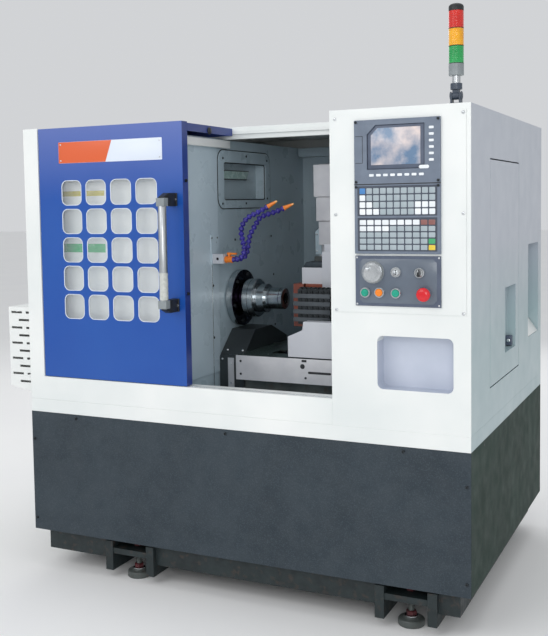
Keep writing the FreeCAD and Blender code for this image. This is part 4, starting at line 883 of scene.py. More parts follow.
# ------------------------------------------------------------------ sub-assemblies
@dataclass
class Stand:
    """Levelling feet, welded base and the dark skirts with their screws.

    Nuts stand `pad_nut` over the floor and `plate_nuts` below the end of the stud.
    """

    pad_radius: float = 41.0
    stud_radius: float = 10.0
    screw_radius: float = 4.5
    screw_drop: float = 14.0
    screw_side: float = 12.0
    thread: float = 4.0
    plate_nuts: Flat = (54.0, 20.0)
    pad_nut: float = 31.0
    washer_low: float = 27.5

    def foot(self, shape: Shape, x: float, y: float, stud_top: float) -> None:
        """Add one turned pad with its threaded stud.

        Args:
            shape: the shape that takes the foot.
            x, y: the foot's place in plan.
            stud_top: height of the stud's end.
        """
        rib = self.stud_radius - 1.1
        shape.turned(Axis.Z, (x, y, 0), [
            (0, 0), (0, self.pad_radius - 2), (2, self.pad_radius), (18, self.pad_radius),
            (21, self.pad_radius - 2.5), (24, self.stud_radius + 15), (27, self.stud_radius + 12),
            (27, self.stud_radius), (28, self.stud_radius), (28, 0)])
        thread = [(26, 0), (26, rib)]
        for turn in range(int((stud_top - 30) / self.thread)):
            foot = 28 + self.thread * turn
            thread += [(foot, rib), (foot + self.thread / 2, self.stud_radius)]
        shape.turned(Axis.Z, (x, y, 0), thread + [(stud_top - 1, rib), (stud_top - 1, 0)], sides=24)

    def nuts(self, shape: Shape, x: float, y: float, heights: tuple[float, ...]) -> None:
        """Add a chamfered nut at each height."""
        across = self.stud_radius + 7
        for low in heights:
            shape.turned(Axis.Z, (x, y, low), [(0, 0), (0, across - 2.5), (2, across), (12, across),
                                               (14, across - 2.5), (14, 0)], sides=6)

    def build(self) -> None:
        """Build the feet, dress the base and the skirts, and set the skirt screws."""
        low, high = span("levelling_feet")
        pads, nuts = Shape("foot_pads", BARE_IRON), Shape("foot_nuts", PRIMED)
        washers = Shape("foot_washers", BRIGHT)
        for x in (low.x + self.pad_radius, high.x - self.pad_radius):
            for y in (low.y + self.pad_radius, high.y - self.pad_radius):
                self.foot(pads, x, y, high.z)
                self.nuts(nuts, x, y, (self.pad_nut, *(high.z - drop for drop in self.plate_nuts)))
                washers.turned(Axis.Z, (x, y, self.washer_low), [
                    (0, 0), (0, 21), (0.6, 21.6), (3, 21.6), (3.4, 21), (3.4, 0)])
        pads.done("cabinet", "levelling_feet")
        nuts.done()
        washers.done()
        softened("machine_base", BASE_IRON, 2.0)
        softened("face_skirts", SLATE_COAT, 1.0)
        # The side skirts take the coat painted darker and greener as shade and reflection.
        softened("side_skirts", SIDE_COAT_SHADE_AND_REFLECTION, 1.0)
        self.skirt_screws()

    def skirt_screws(self) -> None:
        """Black screws round the skirts' edges, countersunk on the outermost faces."""
        low, high = span("side_skirts")
        front, back = 0.0, span("face_skirts")[1].y
        top, side = high.z - self.screw_drop, self.screw_side
        places = []
        for x in (196, 788, 1387):
            places += [(x, front, top, "-Y"), (x, back, top, "+Y")]
        for x in (side, high.x - side):
            for z in (472, 182):
                places += [(x, front, z, "-Y"), (x, back, z, "+Y")]
        for y in (173, 480, 920):
            places += [(high.x, y, top, "+X"), (low.x, y, top, "-X")]
        for name, head, faces in (("skirt_screws", Head.SOCKET, ("-Y", "-X")),
                                  ("skirt_screws_flush", Head.FLUSH, ("+Y", "+X"))):
            screws(name, BLACK_OXIDE, head, self.screw_radius, "cabinet",
                   [place for place in places if place[3] in faces])


@dataclass
class Cabinet:
    """White enclosure: frame, panels and the coloured bands behind the door's windows."""

    edge: float = 1.2
    band_left: float = 122.0
    band_right: float = 306.0
    yellow: Flat = (1341.0, 1359.0)
    green: Flat = (1144.0, 1174.0)
    niche: tuple[Point, Point] = ((1280, 5, 640), (1570, 200, 880))
    wall_return: tuple[Point, Point] = ((600, 53, 600), (606, 400, 1545))
    screw_in: float = 22.0
    screw_low: float = 642.0

    def build(self) -> None:
        """Dress the panels and add bands and panel screws."""
        for node in ("front_frame", "left_side_panel", "rear_panel", "roof_panel"):
            softened(node, WHITE, self.edge)
        # Faces inside the niche take the white painted darker as the shade of the recess.
        softened("control_cabinet", WHITE, self.edge, areas=((NICHE_WHITE_SHADED, *self.niche),))
        low, high = span("base_band")
        # The base band's right face takes the white enamel painted darker as the shade of the right side.
        softened("base_band", WHITE, self.edge, areas=(
            (SIDE_WHITE_SHADED, (high.x - 1.2, 2, low.z - 1), (high.x + 1, high.y + 1, high.z + 1)),))
        softened("fixed_front_panel", WHITE, self.edge, areas=((CHAMBER_LIGHT, *self.wall_return),))
        face = span("fixed_front_panel")[0].y
        for name, finish, (low, high) in (("yellow_band", BAND_YELLOW, self.yellow),
                                          ("green_band", BAND_GREEN, self.green)):
            Shape(name, finish).plate(Axis.Y, rounded(self.band_left, low, self.band_right, high, 2),
                                      face - 0.6, face, 0.2).done()
        self.rear_screws()

    def rear_screws(self) -> None:
        """Countersunk heads round the edges of the rear and left sheets."""
        back, rear = span("rear_panel")[1], span("left_side_panel")[1].y - self.screw_in
        levels = (self.screw_low, back.z - self.screw_in)
        ends = (24, back.x - 24)
        places = [(x, back.y, z, "+Y") for x in (ends[0], 400, 795, 1190, ends[1]) for z in levels]
        places += [(x, back.y, z, "+Y") for x in ends for z in (870, 1100, 1330)]
        places += [(0, y, z, "-X") for y in (80, 600, rear) for z in levels]
        places += [(0, y, z, "-X") for y in (80, rear) for z in (1000, 1300)]
        screws("panel_screws_rear", BRIGHT, Head.FLUSH, 5.0, "cabinet", places)


@dataclass
class LouverGuard:
    """Slotted guard over the spindle's tail."""

    edge: float = 1.0
    rim: float = 10.0
    bottom: float = 597.0
    sheet: float = 2.0

    def build(self) -> None:
        """Dress the guard and set the screws of its mounting rim."""
        softened("louver_guard", WHITE, self.edge)
        low, high = span("louver_guard")
        flange = Shape("guard_flange", WHITE)
        levels = (high.z, self.bottom - self.rim)
        for z in levels:
            flange.block((-self.sheet, low.y, z), (0.0, high.y, z + self.rim), 0.6)
        flange.done()
        screws("guard_screws", BRIGHT, Head.PAN, 3.6, "cabinet",
               [(-self.sheet, low.y + step, z + self.rim / 2, "-X")
                for step in (40, 300, 560) for z in levels])


@dataclass
class SlidingDoor:
    """Blue door with its windows, seals, handle, plain sign and small fittings."""

    columns: int = 4
    rows: int = 5
    window: Flat = (84.0, 87.0)
    pitch: Flat = (101.5, 99.0)
    first: Flat = (158.0, 913.0)
    corner: float = 22.0
    seal: float = 2.2
    tube: float = 14.0
    wrap: float = 88.0
    cap: float = 30.0
    arm_over: float = 13.0
    sign_split: Flat = (195.0, 221.0)

    def build(self) -> None:
        """Dress the door and add everything that it carries."""
        low, high = span("sliding_door")
        # The door's right return face takes the blue painted darker as shade.
        softened("sliding_door", BLUE, 0.7, areas=(
            (BLUE_EDGE_SHADED, (high.x - 2.5, low.y + 1.0, low.z - 1), (high.x + 1, high.y + 1, high.z + 1)),))
        dressed(PANE, "door_pane")
        self.seals(low.y)
        self.handle()
        self.sign()
        self.fittings(low, high)

    def seals(self, face: float) -> None:
        """Pale seal rings in the windows' edges."""
        width, height = self.window
        half = (width / 2, height / 2)
        outer = rounded(-half[0], -half[1], half[0], half[1], self.corner)
        small = (half[0] - self.seal, half[1] - self.seal)
        inner = rounded(-small[0], -small[1], small[0], small[1], self.corner - self.seal)
        ring = Shape("window_seals", SEAL).ring(Axis.Y, outer, inner, 0.4, 2.9)
        centre = at(self.first[0] + half[0] + self.pitch[0] * (self.columns - 1) / 2, face,
                    self.first[1] + half[1] + self.pitch[1] * (self.rows - 1) / 2)
        repeated(Repeat.GRID, empty_base(), ring, "door", Matrix.Translation(centre), Columns=self.columns,
                 Rows=self.rows, Pitch_X=self.pitch[0] * MM, Pitch_Z=self.pitch[1] * MM)

    def handle(self) -> None:
        """Tube handle with its protective wrap, black arms, grey caps and their screws."""
        low, high = span("door_handle")
        x, radius, cap = (low.x + high.x) / 2, self.tube, self.cap
        y, bottom, top = low.y + radius, low.z + cap, high.z - cap
        Shape("handle_tube", SILVER_TUBE).turned(Axis.Z, (x, y, bottom - 4), [
            (0, 0), (0, radius - 1), (1, radius - 0.4), (top - bottom + 7, radius - 0.4),
            (top - bottom + 8, radius - 1), (top - bottom + 8, 0)]).done("door", "door_handle")
        folds = [(step * 7.5, radius + (0.25 if step % 2 else -0.15)) for step in range(1, 12)]
        Shape("handle_wrap", TUBE_WRAP).turned(Axis.Z, (x, y, bottom + 2), [
            (0, radius - 0.5), (0, radius), *folds, (self.wrap, radius), (self.wrap, radius - 0.5)],
            sides=32).done("door")
        arms, caps = Shape("handle_arms", BLACK_NYLON), Shape("handle_caps", GREY_CAP)
        for start, end, slope in ((low.z, low.z + cap, 1), (high.z, high.z - cap, -1)):
            past, inset = start - slope * self.arm_over, start + slope * 3
            arms.plate(Axis.X, [(3.8, past), (-46, past), (y - 6, start), (y + 4, end), (-34, end), (3.8, end)],
                       x - 11, x + 11, 1.5)
            arms.block((x - 15, -2.0, min(past, end)), (x + 15, 3.8, max(past, end)), 1.5)
            caps.block((x - 15, y - radius, min(inset, end)), (x + 15, y + radius, max(inset, end)), 2)
        arms.done("door")
        caps.done("door")
        screws("handle_screws", BRIGHT, Head.SOCKET, 3.2, "door",
               [(x + side * 11.5, -2.0, z, "-Y") for side in (-1, 1) for z in (low.z + 8, high.z - 8)])

    def sign(self) -> None:
        """Plain sign in two colours with a slanted split and corner rivets."""
        low, high = span("sign_plate")
        split_low, split_high = (low.x + place for place in self.sign_split)
        Shape("sign_board", SIGN_PALE).plate(Axis.Y, rounded(low.x, low.z, high.x, high.z, 3),
                                             low.y + 0.3, high.y, 0.3).done("door", "sign_plate")
        Shape("sign_colour", SIGN_ORANGE).plate(Axis.Y, [
            (low.x + 0.4, low.z + 0.4), (split_low, low.z + 0.4), (split_high, high.z - 0.4),
            (low.x + 0.4, high.z - 0.4)], low.y, low.y + 0.4, 0.1).done("door")
        screws("sign_rivets", BRIGHT, Head.RIVET, 3.0, "door",
               [(x, low.y, z, "-Y") for x in (low.x + 9, high.x - 9) for z in (low.z + 9, high.z - 9)])

    def fittings(self, low: Vector, high: Vector) -> None:
        """Edge screws, bumper, latch pin and trim on the door's right return and roof flange.

        Args:
            low, high: the door's corners.
        """
        screws("door_edge_screws", BLACK_OXIDE, Head.SOCKET, 5.5, "door",
               [(high.x, 22, 1384, "+X"), (high.x, 22, 1011, "+X")])
        Shape("door_bumper", BLACK_NYLON).turned(Axis.X, (high.x, 191, 1556), [
            (0, 0), (0, 12), (2, 12.5), (4.5, 11), (5.8, 8), (6.2, 0)], sides=32).done("door")
        Shape("latch_pin", BRIGHT).turned(Axis.Y, (high.x - 6, high.y, 1557), [
            (0, 0), (0, 5), (3, 5), (3, 3), (16, 3), (17, 2), (17, 0)], sides=20).done("door")
        Shape("edge_trim", RUBBER).block((high.x - 2.2, high.y - 330, 905),
                                         (high.x + 0.6, high.y - 327, 920), 0.5).done("door")


@dataclass
class Controls:
    """Access panel, controller, operator panel and everything pressed or turned by hand."""

    key_gap: float = 3.6
    soft_key: Flat = (14.5, 7.5)
    film_cut: float = 11.0
    switch: float = 11.0
    wheel_marks: int = 50
    wheel_ribs: int = 72

    def build(self) -> None:
        """Dress the housings and add display, keys, buttons and switches."""
        softened("control_panel", WHITE, 0.8)
        low, high = span("control_panel")
        screws("access_screws", BRIGHT, Head.PAN, 5.0, "cabinet",
               [(x, low.y, z, "-Y") for x in (low.x + 8, high.x - 8)
                for z in (low.z + 6, (low.z + high.z) / 2, high.z - 8)], ("fasteners",))
        self.display()
        self.keypads()
        self.operator_panel()
        self.buttons()
        self.handwheel()
        self.switches()

    def display(self) -> None:
        """Controller housing with its screen, bezel, side slot and soft keys."""
        low, high = span("controller")
        softened("controller", SLATE_ABS, 1.5, areas=(
            (DARK_ABS, (low.x + 39, low.y + 0.5, high.z - 147), (low.x + 215, low.y + 7, high.z - 15)),
            (KEY_FIELD, (low.x + 9, low.y + 0.5, low.z + 7), (high.x - 9, low.y + 3, low.z + 201))))
        left, right, bottom, top = low.x + 40, low.x + 214, high.z - 146, high.z - 16
        screen = [(left + 2, bottom + 2), (right - 2, bottom + 2), (right - 2, top - 2), (left + 26, top - 2),
                  (left + 2, top - 26)]
        Shape("display_bezel", DARK_ABS).plate(Axis.Y, screen, low.y + 3.0, low.y + 6.0, 0.6).done()
        Shape("display_face", SCREEN).plate(Axis.Y, [
            (left + 12, bottom + 13), (right - 12, bottom + 13), (right - 12, top - 9), (left + 32, top - 9),
            (left + 12, top - 30)], low.y + 1.8, low.y + 3.2, 0.4).done()
        Shape("display_frame", SLATE_ABS).plate(Axis.Y, [
            (left - 4, top + 3), (left - 4, top - 28), (left - 1, top - 28), (left + 26, top - 1),
            (left + 26, top + 3)], low.y - 0.8, low.y + 2, 0.3).done()
        groove = Shape("controller_joints", BLACK_NYLON)
        groove.block((low.x - 0.4, low.y - 0.4, low.z + 204), (high.x + 0.4, low.y + 4, low.z + 207), 0.2)
        for x, below, above in ((4, 48, 46.6), (25.6, 126, 47), (4, 127, 125.6)):
            groove.block((low.x + x, low.y - 0.3, high.z - below), (low.x + 27, low.y + 1, high.z - above))
        groove.done()
        badge = rounded(low.x + 198, bottom - 1, low.x + 228, bottom + 9, 4.8)
        Shape("blank_badge", KEY_WHITE).plate(Axis.Y, badge, low.y - 0.8, low.y + 0.4, 0.2).done()
        screws("controller_screws", BLACK_OXIDE, Head.SOCKET, 4.0, "cabinet",
               [(x, low.y + 0.4, z, "-Y") for x in (low.x + 6, high.x - 6)
                for z in (high.z - 6, low.z + 213, low.z + 198)])
        soft = [(high.x - 26, high.z - 30 - 18.5 * row) for row in range(6)]
        soft += [(low.x + 54 + 21.6 * column, bottom - 17) for column in range(8)]
        self.keys("soft_keys", KEY_WHITE, soft, self.soft_key, low.y)

    def keys(self, name: str, finish: Finish, places: list[Flat], size: Flat, face: float) -> None:
        """Keys of one colour on a face.

        Args:
            name: the piece's name.
            finish: the keys' colour.
            places: centres across and up.
            size: a key's width and height.
            face: the Y place of the face that they stand on.
        """
        half = (size[0] / 2, size[1] / 2)
        outline = rounded(-half[0], -half[1], half[0], half[1], 2.2, 3)
        template = Shape(name, finish).plate(Axis.Y, outline, -1.3, 0.2, 0.5)
        repeated(Repeat.SPOTS, spots([(x, face, z, "") for x, z in places]), template, "cabinet")

    def keypads(self) -> None:
        """Upper and lower key fields; a letter stands for each key's colour, row by row from the top."""
        low, high = span("controller")
        colours = {"b": ("blue", KEY_BLUE), "w": ("white", KEY_WHITE), "n": ("brown", KEY_BROWN),
                   "g": ("green", KEY_GREEN), "y": ("yellow", KEY_YELLOW), ".": ("grey", KEY_GREY)}
        upper = ("b..........", "w..........", "ww......www", "www.....www")
        lower = ("wwwwwwwwnn", "wwww......", "..........", ".........g", ".........y")
        for field, rows, top, deep in (("upper", upper, low.z + 196, 82.0),
                                       ("lower", lower, low.z + 102, 92.0)):
            width, height = (high.x - low.x - 28) / len(rows[0]), deep / len(rows)
            places: dict[str, list[Flat]] = {}
            for row, letters in enumerate(rows):
                for column, letter in enumerate(letters):
                    places.setdefault(letter, []).append(
                        (low.x + 14 + width * (column + 0.5), top - height * (row + 0.5)))
            for letter, centres in places.items():
                name, finish = colours[letter]
                self.keys(f"{field}_keys_{name}", finish, centres,
                          (width - self.key_gap, height - self.key_gap), low.y + 2)

    def operator_panel(self) -> None:
        """Operator panel with its film, corner screws and the ring round each control."""
        low, high = span("operator_panel")
        face = low.y + 7
        softened("operator_panel", DARK_ABS, 1.2, areas=(
            (BRIGHT, (low.x + 15, low.y - 1, low.z + 15), (high.x - 15, face - 0.3, high.z - 15)),))
        left, right, bottom, top, bevel = low.x + 13, high.x - 12, low.z + 9, high.z - 9, self.film_cut
        Shape("operator_film", SLATE_FILM).plate(Axis.Y, [
            (left + bevel, bottom), (right - bevel, bottom), (right, bottom + bevel), (right, top - bevel),
            (right - bevel, top), (left + bevel, top), (left, top - bevel), (left, bottom + bevel)],
            face - 0.5, face + 0.2, 0.15).done()
        screws("operator_screws", BRIGHT, Head.PAN, 3.2, "cabinet",
               [(x, face, z, "-Y") for x in (low.x + 5.5, high.x - 5.5) for z in (low.z + 5.5, high.z - 5.5)])

    def bezel(self, node: str, x: float, face: float, z: float, radius: float) -> None:
        """Bright ring on the panel round a round control.

        Args:
            node: the control's node.
            x, face, z: the ring's centre.
            radius: the control's radius.
        """
        Shape(f"{node}_bezel", BRIGHT).turned(Axis.Y, (x, face, z), [
            (0, radius + 0.6), (-0.6, radius + 1.2), (-0.6, radius + 3.0), (0.6, radius + 4.0),
            (1.6, radius + 4.0), (1.6, radius + 0.6), (0, radius + 0.6)]).done()

    def buttons(self) -> None:
        """Three push buttons and the mushroom stop button."""
        for body, finish in (("start", BUTTON_GREEN), ("hold", BUTTON_AMBER), ("reset", BUTTON_GREEN)):
            node = f"{body}_button"
            low, high = span(node)
            (x, _, z), radius = middle(node), (high.x - low.x) / 2
            Shape(f"{node}_cap", finish).turned(Axis.Y, (x, low.y, z), [
                (0.9, 0), (0.6, radius * 0.55), (0.0, radius * 0.72), (0.0, radius * 0.9), (0.8, radius),
                (high.y - low.y, radius), (high.y - low.y, 0)]).done(body, node)
            self.bezel(node, x, low.y + 2.6, z, radius)
        low, high = span("stop_button")
        (x, _, z), radius = middle("stop_button"), (high.x - low.x) / 2
        Shape("stop_head", STOP_RED).turned(Axis.Y, (x, low.y, z), [
            (0, 0), (0.3, radius * 0.35), (1.2, radius * 0.62), (3.0, radius * 0.84), (6.0, radius * 0.97),
            (9.5, radius), (13.5, radius * 0.97), (15.5, radius * 0.86), (16, 10.4), (30, 10), (46, 10), (46, 0)],
            sides=64).done("stop", "stop_button")

    def handwheel(self) -> None:
        """Knurled handwheel with its knob, over a scale ring with marks."""
        low, high = span("handwheel")
        x, _, z = middle("handwheel")
        radius, face = (high.x - low.x) / 2, low.y + 12
        Shape("wheel_disc", BRIGHT).turned(Axis.Y, (x, face, z), [
            (1.2, 0), (1.2, radius - 11), (0, radius - 10), (0, radius - 6), (2, radius - 4),
            (4, radius - 1.2), (5, radius), (14, radius), (16, radius - 2), (16, 6), (38, 6), (38, 0)],
            sides=64).done("wheel", "handwheel")
        upright = Matrix.Rotation(QUARTER, 4, "X")
        knurl = Shape("wheel_knurl", BRIGHT).block((-4.0, -0.6, -0.6), (4.0, 0.2, 0.6))
        place = Matrix.Translation(at(x, face + 9.5, z)) @ upright
        repeated(Repeat.RING, empty_base(), knurl, "wheel", place, Count=self.wheel_ribs,
                 Radius=(radius - 0.5) * MM)
        Shape("wheel_knob", BRIGHT).turned(Axis.Y, (low.x + 18, low.y, low.z + 40), [
            (0, 0), (0.3, 3.2), (1.5, 4.8), (10, 5), (12, 3.6), (14, 3.6), (14, 0)], sides=32).done("wheel")
        place = Matrix.Translation(at(x, face + 16.2, z)) @ upright
        Shape("wheel_scale", GREY_CAP).turned(Axis.Y, (x, face + 16.2, z), [
            (0, radius - 1), (0, radius + 4), (0.6, radius + 4.8), (1.8, radius + 4.8), (1.8, radius - 1),
            (0, radius - 1)], sides=64).done()
        marks = Shape("wheel_marks", BLACK_OXIDE).block((-0.35, -1.6, -0.25), (0.35, 1.6, 0.25))
        repeated(Repeat.RING, empty_base(), marks, "cabinet", place, Count=self.wheel_marks,
                 Radius=(radius + 2.2) * MM)

    def switches(self) -> None:
        """Barrels of the key switch and the selector, with the key's bow and the selector's grip."""
        for body in ("key", "selector"):
            node = f"{body}_switch"
            low, high = span(node)
            (x, _, z), radius = middle(node), self.switch
            face = high.y - 30
            Shape(f"{node}_barrel", BRIGHT).turned(Axis.Y, (x, face, z), [
                (0, 0), (0, radius - 1.4), (1.2, radius), (30, radius), (30, 0)]).done(body, node)
            self.bezel(node, x, face + 2.0, z, radius)
            if body == "key":
                Shape("key_slot", BLACK_OXIDE).block((x - 2.2, face - 0.3, z - 7), (x + 2.2, face + 1, z + 7),
                                                     0.3).done(body)
                bow = Shape("key_bow", BRIGHT)
                bow.plate(Axis.X, rounded(low.y, z - 8, low.y + 13, z + 8, 4), x - 1.1, x + 1.1, 0.4)
                blade = [(low.y + 13, z - 4), (face + 2, z - 4), (face + 2, z + 4), (low.y + 13, z + 4)]
                bow.plate(Axis.X, blade, x - 1.1, x + 1.1, 0.3)
                bow.done(body)
            else:
                grip = rounded(x - 3.4, z - 10.8, x + 3.4, z + 10.8, 3.2)
                Shape("selector_grip", BLACK_NYLON).plate(Axis.Y, grip, low.y, face + 1, 1.0).done(body)
                Shape("selector_mark", KEY_WHITE).block(
                    (x - 0.8, low.y - 0.2, z + 3), (x + 0.8, low.y + 1, z + 9.5), 0.2).done(body)


@dataclass
class RightSide:
    """Right side sheets: panel, hinged service door with its lock, and the rear recess."""

    lock: Flat = (22.0, 34.0)
    lock_back: float = 655.0
    lock_foot: float = 800.0
    door_fold: float = 30.0
    recess: float = 40.0

    def build(self) -> None:
        """Dress the sheets and add the lock and the recess's details."""
        # Both sheets take the white enamel painted darker as the shade of the right side.
        softened("right_side_panel", SIDE_WHITE_SHADED, 1.0)
        softened("service_door", SIDE_WHITE_SHADED, 1.2)
        face = span("service_door")[1].x - self.door_fold
        width, height = self.lock
        y0, z0 = self.lock_back - width, self.lock_foot
        Shape("door_lock", DARK_ABS).block((face, y0, z0), (face + 20, y0 + width, z0 + height),
                                           1.5).done("service_leaf")
        Shape("lock_barrel", BRIGHT).turned(Axis.Y, (face + 10, y0, z0 + height / 2), [
            (0, 0), (0, 6), (-2, 6), (-2.6, 5), (-2.6, 1.6), (-0.6, 1.4), (-0.6, 0)],
            sides=32).done("service_leaf")
        rear = span("right_side_panel")[1].x - self.recess
        Shape("recess_slit", BLACK_NYLON).block((rear, 905, 812), (rear + 1.2, 912, 1128), 0.3).done()
        Shape("recess_wedge", WHITE).plate(Axis.Y, [(rear, 796), (rear + 38, 796), (rear, 850)], 895, 1102,
                                           0.8).done()
        screws("recess_screws", BRIGHT, Head.PAN, 4.0, "cabinet",
               [(rear, y, z, "+X") for y in (930, 1080) for z in (880, 1110)])


@dataclass
class Chamber:
    """Working chamber: wall, hatch with its window and lamp, linings, chip guard and way cover."""

    wall: float = 602.0
    sheet: float = 605.0
    hatch: tuple[float, float, float, float] = (330.0, 1290.0, 770.0, 1500.0)
    gasket: float = 3.0
    window: tuple[float, float, float, float] = (375.0, 1319.0, 727.0, 1457.0)
    screw_radius: float = 4.6
    strip: tuple[Point, Point] = ((637, 312, 641), (665, 314.5, 755))
    slots: range = range(640, 1390, 60)

    def build(self) -> None:
        """Dress the sheets and add gasket, window, lamp, screws and seams."""
        for node, edge in (("spindle_wall", 0.5), ("wall_hatch", 0.8), ("chamber_liner", 0.8)):
            softened(node, CHAMBER, edge)
        self.window_and_lamp()
        self.wall_fittings()
        self.chip_guard()
        self.way_cover()

    def window_and_lamp(self) -> None:
        """Dark gasket round the hatch, its glass and the lamp bar's cover."""
        y0, z0, y1, z1 = self.hatch
        wide = self.gasket
        Shape("hatch_gasket", RUBBER).ring(
            Axis.X, rounded(y0 - wide, z0 - wide, y1 + wide, z1 + wide, 40 + wide, 10),
            rounded(y0, z0, y1, z1, 40, 10), self.wall, self.sheet - 0.8).done()
        y0, z0, y1, z1 = self.window
        Shape("hatch_pane", HATCH_GLASS).plate(Axis.X, rounded(y0, z0, y1, z1, 12),
                                               self.wall - 5, self.wall - 2, 0.3).done()
        Shape("hatch_seal", RUBBER).ring(
            Axis.X, rounded(y0 - 0.2, z0 - 0.2, y1 + 0.2, z1 + 0.2, 12),
            rounded(y0 + 4, z0 + 4, y1 - 4, z1 - 4, 9), self.wall - 2, self.wall + 0.5).done()
        # The dark rubber rim round the lamp cover is partly a rim and partly painted shadow under the lamp bar.
        for name, finish, corners, start, end, edge in (
                ("lamp_rim", RUBBER, ((2, -62), (228, -62), (251, -26), (2, -26)), 581.05, 582.4, 0.3),
                ("lamp_cover", LAMP_GLASS, ((4, -58), (225, -58), (246, -30), (4, -30)), 581.2, 584, 0.5)):
            outline = [(y0 + across, z1 + up) for across, up in corners]
            Shape(name, finish).plate(Axis.X, outline, start, end, edge).done()

    def wall_fittings(self) -> None:
        """Screws, seam, rail and duct on the chamber's walls."""
        hatch = [(361, 1307), (552, 1307), (740, 1325), (741, 1473), (558, 1484), (367, 1471)]
        wall = [(301, 1170), (459, 1173), (778, 1175), (796, 1020), (276, 1016), (276, 830), (804, 816)]
        places = [(self.sheet, y, z, "+X") for y, z in hatch]
        places += [(self.sheet if y < 322 else self.wall, y, z, "+X") for y, z in wall]
        screws("chamber_screws", BLACK_OXIDE, Head.PAN, self.screw_radius, "cabinet", places)
        # Bright steel strip on a fold of the sheet: a real fold edge whose brightness is a painted highlight.
        Shape("wall_seam", BRIGHT).block((self.sheet, 268, 646), (self.sheet + 0.9, 271.5, 1140), 0.3).done()
        Shape("wall_rail", WHITE).block((self.sheet, 60, 1506), (620, 400, 1534), 1.5).done()
        duct = Shape("cable_duct", CHAMBER).block((606, 1054, 1500), (1395, 1114, 1536), 1.5)
        for x in self.slots:
            duct.block((x, 1053.4, 1504), (x + 1.2, 1054.4, 1532))
        duct.done()
        back = span("chamber_liner")[1].y - 3.0
        folds = Shape("wall_folds", CHAMBER)
        for x in (850, 1130):
            folds.block((x, back - 2.5, 640), (x + 3, back, 1500), 0.8)
        folds.done()

    def chip_guard(self) -> None:
        """Chip guard with its bright strip and screws."""
        softened("chip_guard", BLACK_ENAMEL, 1.2, areas=((STAINLESS, *self.strip),))
        screws("guard_bolts", BRIGHT, Head.PAN, 4.0, "cabinet",
               [(651, 313, z, "-Y") for z in (664, 732)] + [(616, 315, 748, "-Y")]
               + [(x, 340, 778.6, "slope") for x in (625, 686)])

    def way_cover(self) -> None:
        """Way cover with its oiled lid and the openings and screws of its apron."""
        low, high = span("way_cover")
        softened("way_cover", STAINLESS, 0.8, areas=(
            (OILED_LID, (low.x - 1, low.y + 6, high.z - 5), (high.x + 1, high.y + 1, high.z + 1)),))
        face = low.y
        # The apron's openings are flat black patches on its face: painted shade inside the holes.
        marks = Shape("apron_openings", BLACK_NYLON)
        marks.plate(Axis.Y, rounded(977, 726, 1061, 734, 3.9), face - 0.3, face + 0.5)
        marks.turned(Axis.Y, (957, face - 0.3, 750), [(0, 0), (0, 8.5), (0.8, 8.5), (0.8, 0)], sides=32)
        marks.block((954, face - 0.3, 765), (972, face + 0.5, 773))
        marks.done()
        apron = ((968, 711), (722, 711), (1240, 711), (722, 756), (1240, 756))
        screws("apron_screws", BLACK_OXIDE, Head.PAN, 4.2, "cabinet", [(x, face, z, "-Y") for x, z in apron])


@dataclass
class Spindle:
    """Spindle nose and the bolted cover disc behind it."""

    axis: Flat = (474.0, 957.0)
    bolt_circle: float = 88.0
    bolts: int = 6

    def build(self) -> None:
        """Dress disc and spindle, and add bolts and the bore's liner."""
        high = span("spindle_cover")[1]
        softened("spindle_cover", SPINDLE_STEEL, 1.6, areas=((BLACKENED, (629, 300, 800), (632, 700, 1100)),))
        y, z = self.axis
        softened("spindle", BLACKENED, 1.0, areas=(
            (SPINDLE_STEEL, (653, 300, 800), (799, 700, 1100)),))
        angles = [math.tau * (step + 0.25) / self.bolts for step in range(self.bolts)]
        screws("cover_bolts", BLACK_OXIDE, Head.SOCKET, 6.5, "cabinet",
               [(high.x, y + self.bolt_circle * math.cos(angle), z + self.bolt_circle * math.sin(angle), "+X")
                for angle in angles])
        face = span("spindle")[1].x
        grooves = Shape("spindle_grooves", BLACKENED)
        for x, radius in ((671, 70.5), (697, 52.5), (740, 39.5), (744, 39.5), (783, 39.5)):
            grooves.turned(Axis.X, (x, y, z), [(0, radius - 1), (0, radius + 0.15), (1.6, radius + 0.15),
                                               (1.6, radius - 1), (0, radius - 1)], sides=96)
        grooves.done("spindle_group")
        Shape("bore_rings", SPINDLE_STEEL).turned(Axis.X, (face - 60, y, z), [
            (0, 22.9), (57, 22.9), (58, 21.6), (60, 22.4), (60, 20.2), (2, 20.2),
            (0, 22.9)]).done("spindle_group")


